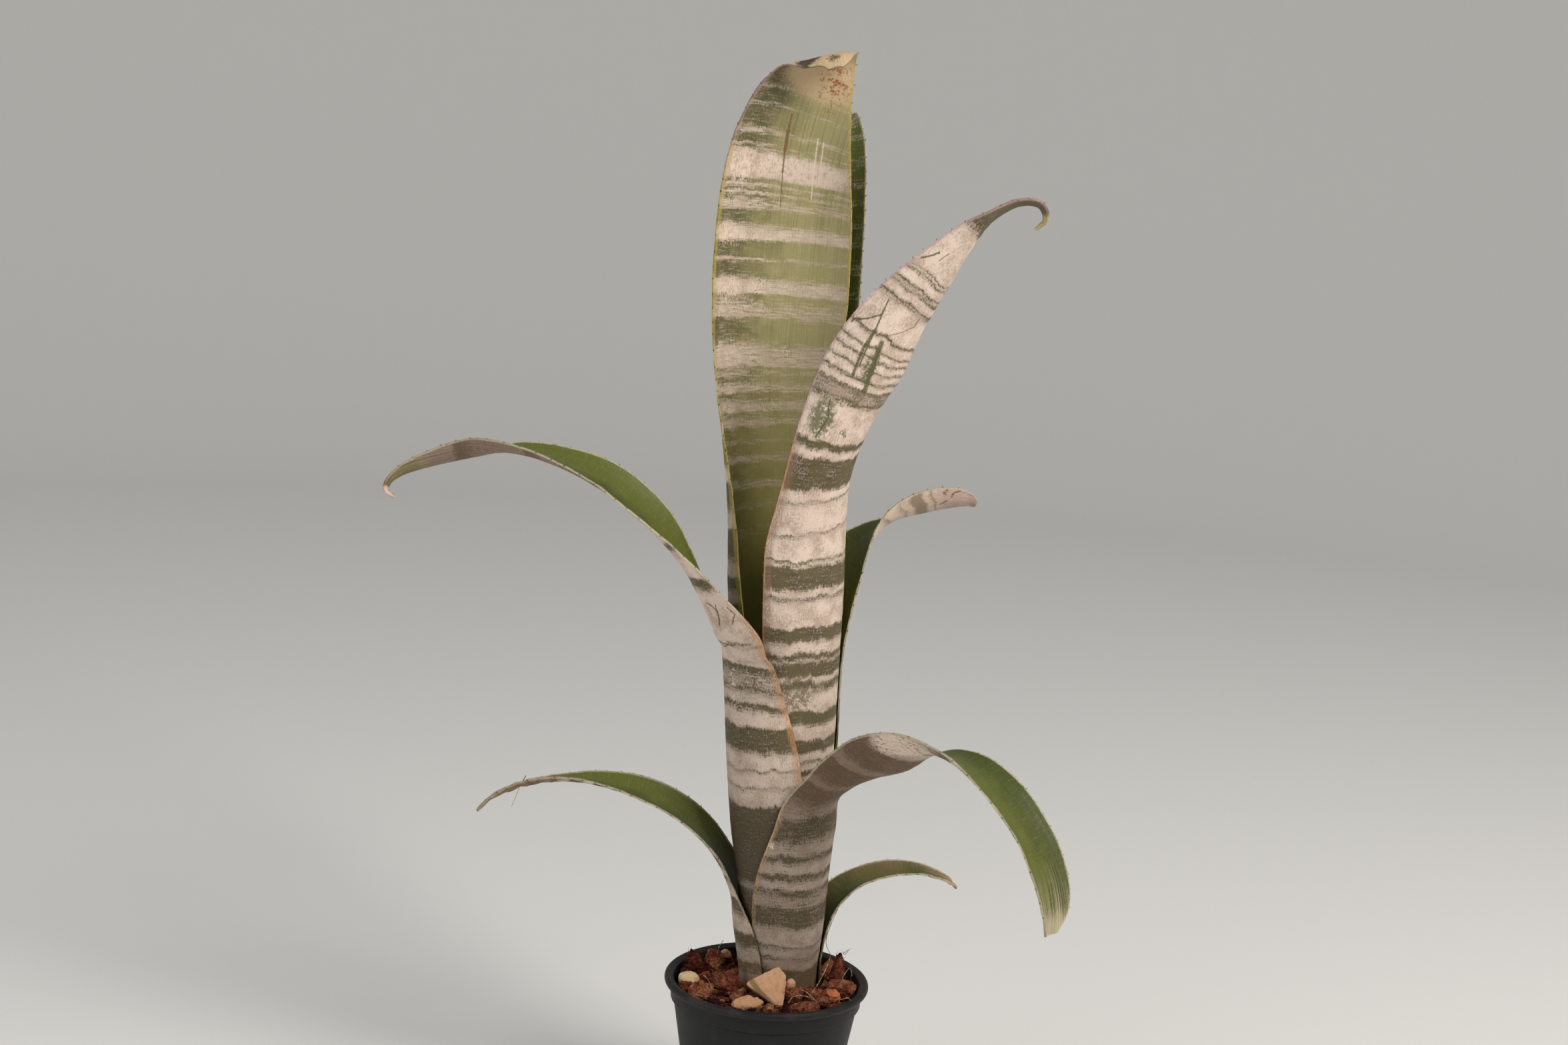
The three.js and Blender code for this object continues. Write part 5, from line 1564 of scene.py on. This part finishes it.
def add_mix_bed(bm, look):
    """The filled body of the mix, with the plant's hole sunk in its top."""
    heights = (FLOOR + WALL_GAP, *WALL_HEIGHTS, MIX_EDGE - 3)
    wall = [(pot_radius(z) - WALL - WALL_GAP, z) for z in heights]
    edge = pot_radius(MIX_EDGE) - WALL - WALL_GAP
    top = [(edge * (1 - i / MIX_RINGS), MIX_EDGE) for i in range(MIX_RINGS + 1)]
    spin_profile(bm, [(0, FLOOR + WALL_GAP), *wall, *top], MIX_STEPS)
    chip_map = bm.verts.layers.float_vector["chip_map"]
    tint = bm.verts.layers.float["tint"]
    for vert in bm.verts:
        x, y, z = vert.co / MM
        vert[chip_map] = (x, y * 0.6, z)
        vert[tint] = 0.3 + 0.5 * noise.noise(Vector((x, y, 0)) * 0.25)
        if z < MIX_EDGE - 0.01:
            continue
        crumbly = crumble(x, y, 0.5) * look.relief / MM
        far = math.hypot(x, y) / edge
        height = MIX_CROWN - BED_DROP - (MIX_CROWN - MIX_EDGE) * far ** 3 + crumbly * (1 - far ** 6)
        distance = from_socket(x, y)
        if distance < SOCKET_RADIUS + SOCKET_RIM:
            height = SOCKET_FLOOR
            if distance > SOCKET_RADIUS:
                x, y = at_socket(x, y, SOCKET_RADIUS)
        vert.co = Vector((x, y, height)) * MM


def add_chips(bm):
    """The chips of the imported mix, in their places, as broken bark."""
    for i, (size, place, turn, pale) in enumerate(MARKED_CHIPS):
        add_chunk(bm, MARKED_CHIP_SEED + i, size, place, turn, cuts=11, subdivisions=5, tint=pale)
    numbers = random_from(CHIP_SEED)
    for i in range(SMALL_CHIPS):
        azimuth = math.radians(i * GOLDEN_TURN)
        radius = CHIP_RING_START + CHIP_RING_WIDTH * next(numbers)
        x, y = polar(radius, azimuth)
        z = CHIP_LOW + CHIP_RISE * next(numbers)
        if y < WEDGE_FRONT and WEDGE_LEFT < x < WEDGE_RIGHT:
            z -= BEFORE_WEDGE_DROP
        size = [least + spread * next(numbers) for least, spread in CHIP_SIDES]
        turn = [360 * next(numbers) for _ in range(3)]
        add_chunk(bm, SMALL_CHIP_SEED + i, size, (x, y, z), turn)


def add_crumbs(bm, look):
    """Small broken bits all over the mix."""
    pick = random.Random(CRUMB_PLACE_SEED)
    for i in range(look.crumbs):
        azimuth = pick.uniform(0, 2 * math.pi)
        radius = MIX_REACH * math.sqrt(pick.uniform(0.08, 1))
        x, y = polar(radius, azimuth)
        if from_socket(x, y) < SOCKET_RADIUS + CRUMB_ROOM:
            x, y = at_socket(x, y, SOCKET_RADIUS + pick.uniform(CRUMB_ROOM, 3))
        long = pick.uniform(*CRUMB_LENGTHS)
        size = (long, long * pick.uniform(0.35, 0.8), long * pick.uniform(0.3, 0.6))
        turn = (pick.uniform(-30, 30), pick.uniform(-30, 30), pick.uniform(0, 360))
        place = (x, y, mix_surface(x, y) + pick.uniform(-0.6, 0.5))
        add_chunk(bm, CRUMB_SEED + i, size, place, turn, cuts=5, subdivisions=2)


def torn_fibre(pick, chip):
    """A short fibre that sticks out of a large chip, mostly along the chip's own length."""
    size, place, turn, _ = chip
    way = random_vector(pick, -0.2).normalized()
    matrix = Matrix.Translation(place) @ turned(turn)
    root = matrix @ Vector([0.4 * part * side for part, side in zip(way, size)])
    along = Vector((pick.choice((-1, 1)), pick.uniform(-0.4, 0.4), pick.uniform(-0.4, 0.4)))
    heading = (turned(turn).to_3x3() @ (along * 0.7 + way)).normalized()
    long = pick.uniform(*TORN_LENGTHS)
    bend = random_vector(pick, -0.5) * long * 0.25
    points = []
    for share in (0, 0.5, 1):
        x, y, z = root + heading * long * share + bend * share * share
        points.append((*clear_place(x, y, 0.5), z))
    return points


def loose_fibre(pick):
    """A short bent fibre that lies on the mix, as points in millimetres."""
    azimuth = pick.uniform(0, 2 * math.pi)
    radius = pick.uniform(*FIBRE_RING)
    x, y = polar(radius, azimuth)
    heading = pick.uniform(0, 2 * math.pi)
    long = pick.uniform(*FIBRE_LENGTHS)
    points = []
    for _ in range(FIBRE_BENDS + 1):
        x, y = clear_place(x, y, 1)
        points.append((x, y, mix_surface(x, y) + pick.uniform(0.3, 2.2)))
        heading += pick.uniform(-0.7, 0.7)
        x += math.cos(heading) * long / FIBRE_BENDS
        y += math.sin(heading) * long / FIBRE_BENDS
    return points


def stone_mesh(node, look, seed, roughness):
    """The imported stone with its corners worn, its faces divided and roughened."""
    bm = bmesh.new()
    bm.from_mesh(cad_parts[node].data)
    bmesh.ops.remove_doubles(bm, verts=bm.verts[:], dist=MERGE_DISTANCE)
    low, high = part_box(node)
    round_edges(bm, min(look.bevel, STONE_BEVEL_SHARE * (high - low).length))
    bmesh.ops.triangulate(bm, faces=bm.faces[:])
    for _ in range(3):
        long_edges = [edge for edge in bm.edges if edge.calc_length() > STONE_EDGE * MM]
        bmesh.ops.subdivide_edges(bm, edges=long_edges, cuts=1)
        bmesh.ops.triangulate(bm, faces=bm.faces[:])
    for _ in range(2):
        bmesh.ops.smooth_vert(
            bm, verts=bm.verts[:], factor=0.5, use_axis_x=True, use_axis_y=True, use_axis_z=True
        )
    bm.normal_update()
    for vert in bm.verts:
        spot = vert.co / MM
        rough = noise.fractal(spot * 0.55 + Vector((seed * 7, 0, 0)), 0.7, 2.1, 4)
        vert.co += vert.normal * rough * look.relief * roughness
    bmesh.ops.recalc_face_normals(bm, faces=bm.faces[:])
    return bm


def add_light(scene, name, light, power):
    """A square area light that points at the plant."""
    place, size, tint = light
    lamp = bpy.data.lights.new(name, "AREA")
    lamp.size = size
    lamp.energy = power
    lamp.color = tint
    heading = (Vector(LIGHT_AIM) - Vector(place)).to_track_quat("-Z", "Y")
    made = bpy.data.objects.new(name, lamp)
    made.matrix_world = Matrix.Translation(place) @ heading.to_matrix().to_4x4()
    scene.collection.objects.link(made)


def add_floor(scene, look):
    """A round floor whose rim curves up all round."""
    bm = bmesh.new()
    rise = look.radius * STAGE_RISE
    flat = look.radius - rise
    rim = arc(flat, rise, rise, rise, -90, 0, 24)
    profile = [(0, 0), (flat * 0.5, 0), *rim, (look.radius, rise * STAGE_TOP)]
    spin_profile(bm, [(r / MM, z / MM) for r, z in profile], 96)
    bmesh.ops.translate(bm, verts=bm.verts[:], vec=(0, 0, -STAGE_DROP * MM))
    mesh = mesh_from(bm, "studio_floor", smooth=True)
    mesh.materials.append(floor_material(look))
    floor = bpy.data.objects.new("studio_floor", mesh)
    scene.collection.objects.link(floor)


def add_sky(scene, look):
    """Soft light from all round."""
    world = bpy.data.worlds.new("studio_sky")
    world.use_nodes = True
    background = world.node_tree.nodes["Background"]
    background.inputs["Color"].default_value = (*look.sky, 1)
    background.inputs["Strength"].default_value = look.sky_strength
    scene.world = world


def add_camera(scene):
    """The camera at the photograph's angle."""
    camera_data = bpy.data.cameras.new("camera")
    camera_data.lens = CAMERA_LENS
    camera_data.sensor_width = CAMERA_SENSOR
    camera = bpy.data.objects.new("camera", camera_data)
    ahead = Vector((0, math.cos(CAMERA_TILT), -math.sin(CAMERA_TILT)))
    level_up = Vector((0, math.sin(CAMERA_TILT), math.cos(CAMERA_TILT)))
    right = Vector((math.cos(CAMERA_ROLL), 0, 0)) + level_up * math.sin(CAMERA_ROLL)
    up = level_up * math.cos(CAMERA_ROLL) - Vector((math.sin(CAMERA_ROLL), 0, 0))
    turn = Matrix((right, up, -ahead)).transposed().to_4x4()
    camera.matrix_world = Matrix.Translation(CAMERA_PLACE * MM) @ turn
    scene.collection.objects.link(camera)
    scene.camera = camera


class BROMELIAD_OT_leaves(bpy.types.Operator):
    """Builds the eight leaves with their bands, margins, spines and dried tips"""

    bl_idname = "bromeliad.leaves"
    bl_label = "Leaves"

    def execute(self, context):
        look = context.scene.bromeliad.leaf
        thorns = spine_material(look)
        for index, leaf in enumerate(LEAVES):
            bm = leaf_mesh(leaf, look, index)
            blade = leaf_material(leaf, look)
            name = leaf.name.replace("leaf", "blade")
            finish_piece(name, bm, [blade, thorns], [leaf.name], 55)
        return {"FINISHED"}


class BROMELIAD_OT_pot(bpy.types.Operator):
    """Builds the round nursery pot with its rolled lip, collar and drainage slots"""

    bl_idname = "bromeliad.pot"
    bl_label = "Pot"

    def execute(self, context):
        look = context.scene.bromeliad.pot
        bm = bmesh.new()
        spin_profile(bm, pot_profile(), look.steps)
        pot = finish_piece("nursery_pot", bm, [plastic_material(look)], ["pot"], 35)
        cut_away(pot, slot_cutter(context.scene, look))
        return {"FINISHED"}


class BROMELIAD_OT_mix(bpy.types.Operator):
    """Builds the bark mix with its chips and crumbs"""

    bl_idname = "bromeliad.mix"
    bl_label = "Bark mix"

    def execute(self, context):
        look = context.scene.bromeliad.mix
        bm = bmesh.new()
        bm.verts.layers.float_vector.new("chip_map")
        bm.verts.layers.float.new("tint")
        add_mix_bed(bm, look)
        add_chips(bm)
        add_crumbs(bm, look)
        finish_piece("bark_mix", bm, [bark_material(look)], ["potting_mix"], 60)
        return {"FINISHED"}


class BROMELIAD_OT_fibres(bpy.types.Operator):
    """Lays loose fibres and root hairs on the mix, and hangs a dry thread from the low leaf at the left"""

    bl_idname = "bromeliad.fibres"
    bl_label = "Fibres"

    def execute(self, context):
        look = context.scene.bromeliad.mix
        pick = random.Random(FIBRE_SEED)
        brown = bmesh.new()
        for _ in range(look.fibres):
            add_thread(brown, loose_fibre(pick), look.fibre_radius * pick.uniform(0.6, 1.5))
        for chip in MARKED_CHIPS:
            for _ in range(look.fuzz):
                points = torn_fibre(pick, chip)
                add_thread(brown, points, look.fibre_radius * pick.uniform(0.35, 0.8), 0.3, 3)
        strand = fibre_material("bark_fibre", look.fibre, look.dark_bark)
        finish_piece("bark_fibres", brown, [strand])
        pale = bmesh.new()
        for points in ROOT_HAIRS:
            add_thread(pale, points, look.fibre_radius * 1.1, 0.6)
        hair = fibre_material("root_hair", look.root_hair, look.fibre)
        finish_piece("root_hairs", pale, [hair])
        thread = bmesh.new()
        add_thread(thread, LEAF_THREAD, look.fibre_radius)
        finish_piece("leaf_thread", thread, [hair])
        return {"FINISHED"}


class BROMELIAD_OT_stones(bpy.types.Operator):
    """Builds the loose stones and chips on the mix, and finishes the hidden stem"""

    bl_idname = "bromeliad.stones"
    bl_label = "Stones and stem"

    def execute(self, context):
        look = context.scene.bromeliad.stone
        finishes = {
            "cream": stone_material("chalk", look.cream, look.cream_shade),
            "peach": stone_material("peach_chalk", look.peach, look.cream_shade),
            "tan": wood_chip_material(look),
            "rust": stone_material("rust", look.rust, look.rust_shade),
        }
        for seed, (node, name, slot, finish, roughness) in enumerate(STONES):
            bm = stone_mesh(node, look, seed, roughness)
            finish_piece(name, bm, [finishes[finish]], [node], 70)
        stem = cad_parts["stem_and_roots"]
        stem.data.materials.clear()
        stem.data.materials.append(stem_material(look))
        return {"FINISHED"}


class BROMELIAD_OT_stage(bpy.types.Operator):
    """Sets up the pale floor, the soft lights and the camera at the photograph's angle"""

    bl_idname = "bromeliad.stage"
    bl_label = "Stage"

    def execute(self, context):
        scene = context.scene
        look = scene.bromeliad.stage
        add_floor(scene, look)
        add_sky(scene, look)
        add_light(scene, "key", KEY_LIGHT, look.key_power)
        add_light(scene, "fill", FILL_LIGHT, look.fill_power)
        add_camera(scene)
        scene.view_settings.view_transform = "Standard"
        return {"FINISHED"}


OPERATORS = [
    BROMELIAD_OT_stage,
    BROMELIAD_OT_leaves,
    BROMELIAD_OT_pot,
    BROMELIAD_OT_mix,
    BROMELIAD_OT_fibres,
    BROMELIAD_OT_stones,
]


class BROMELIAD_PT_panel(bpy.types.Panel):
    """Lists the pieces that can be built"""

    bl_idname = "BROMELIAD_PT_panel"
    bl_label = "Potted bromeliad"
    bl_space_type = "VIEW_3D"
    bl_region_type = "UI"
    bl_category = "Bromeliad"

    def draw(self, context):
        for operator in OPERATORS:
            self.layout.operator(operator.bl_idname)


LOOKS = [LeafLook, PotLook, MixLook, StoneLook, StageLook, BromeliadLook]
CLASSES = [*LOOKS, *OPERATORS, BROMELIAD_PT_panel]


def register():
    for made in CLASSES:
        bpy.utils.register_class(made)
    bpy.types.Scene.bromeliad = PointerProperty(type=BromeliadLook)


def unregister():
    del bpy.types.Scene.bromeliad
    for made in reversed(CLASSES):
        bpy.utils.unregister_class(made)


def main():
    register()
    for operator in OPERATORS:
        group, name = operator.bl_idname.split(".")
        getattr(getattr(bpy.ops, group), name)()
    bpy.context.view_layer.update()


if __name__ == "__main__":
    main()
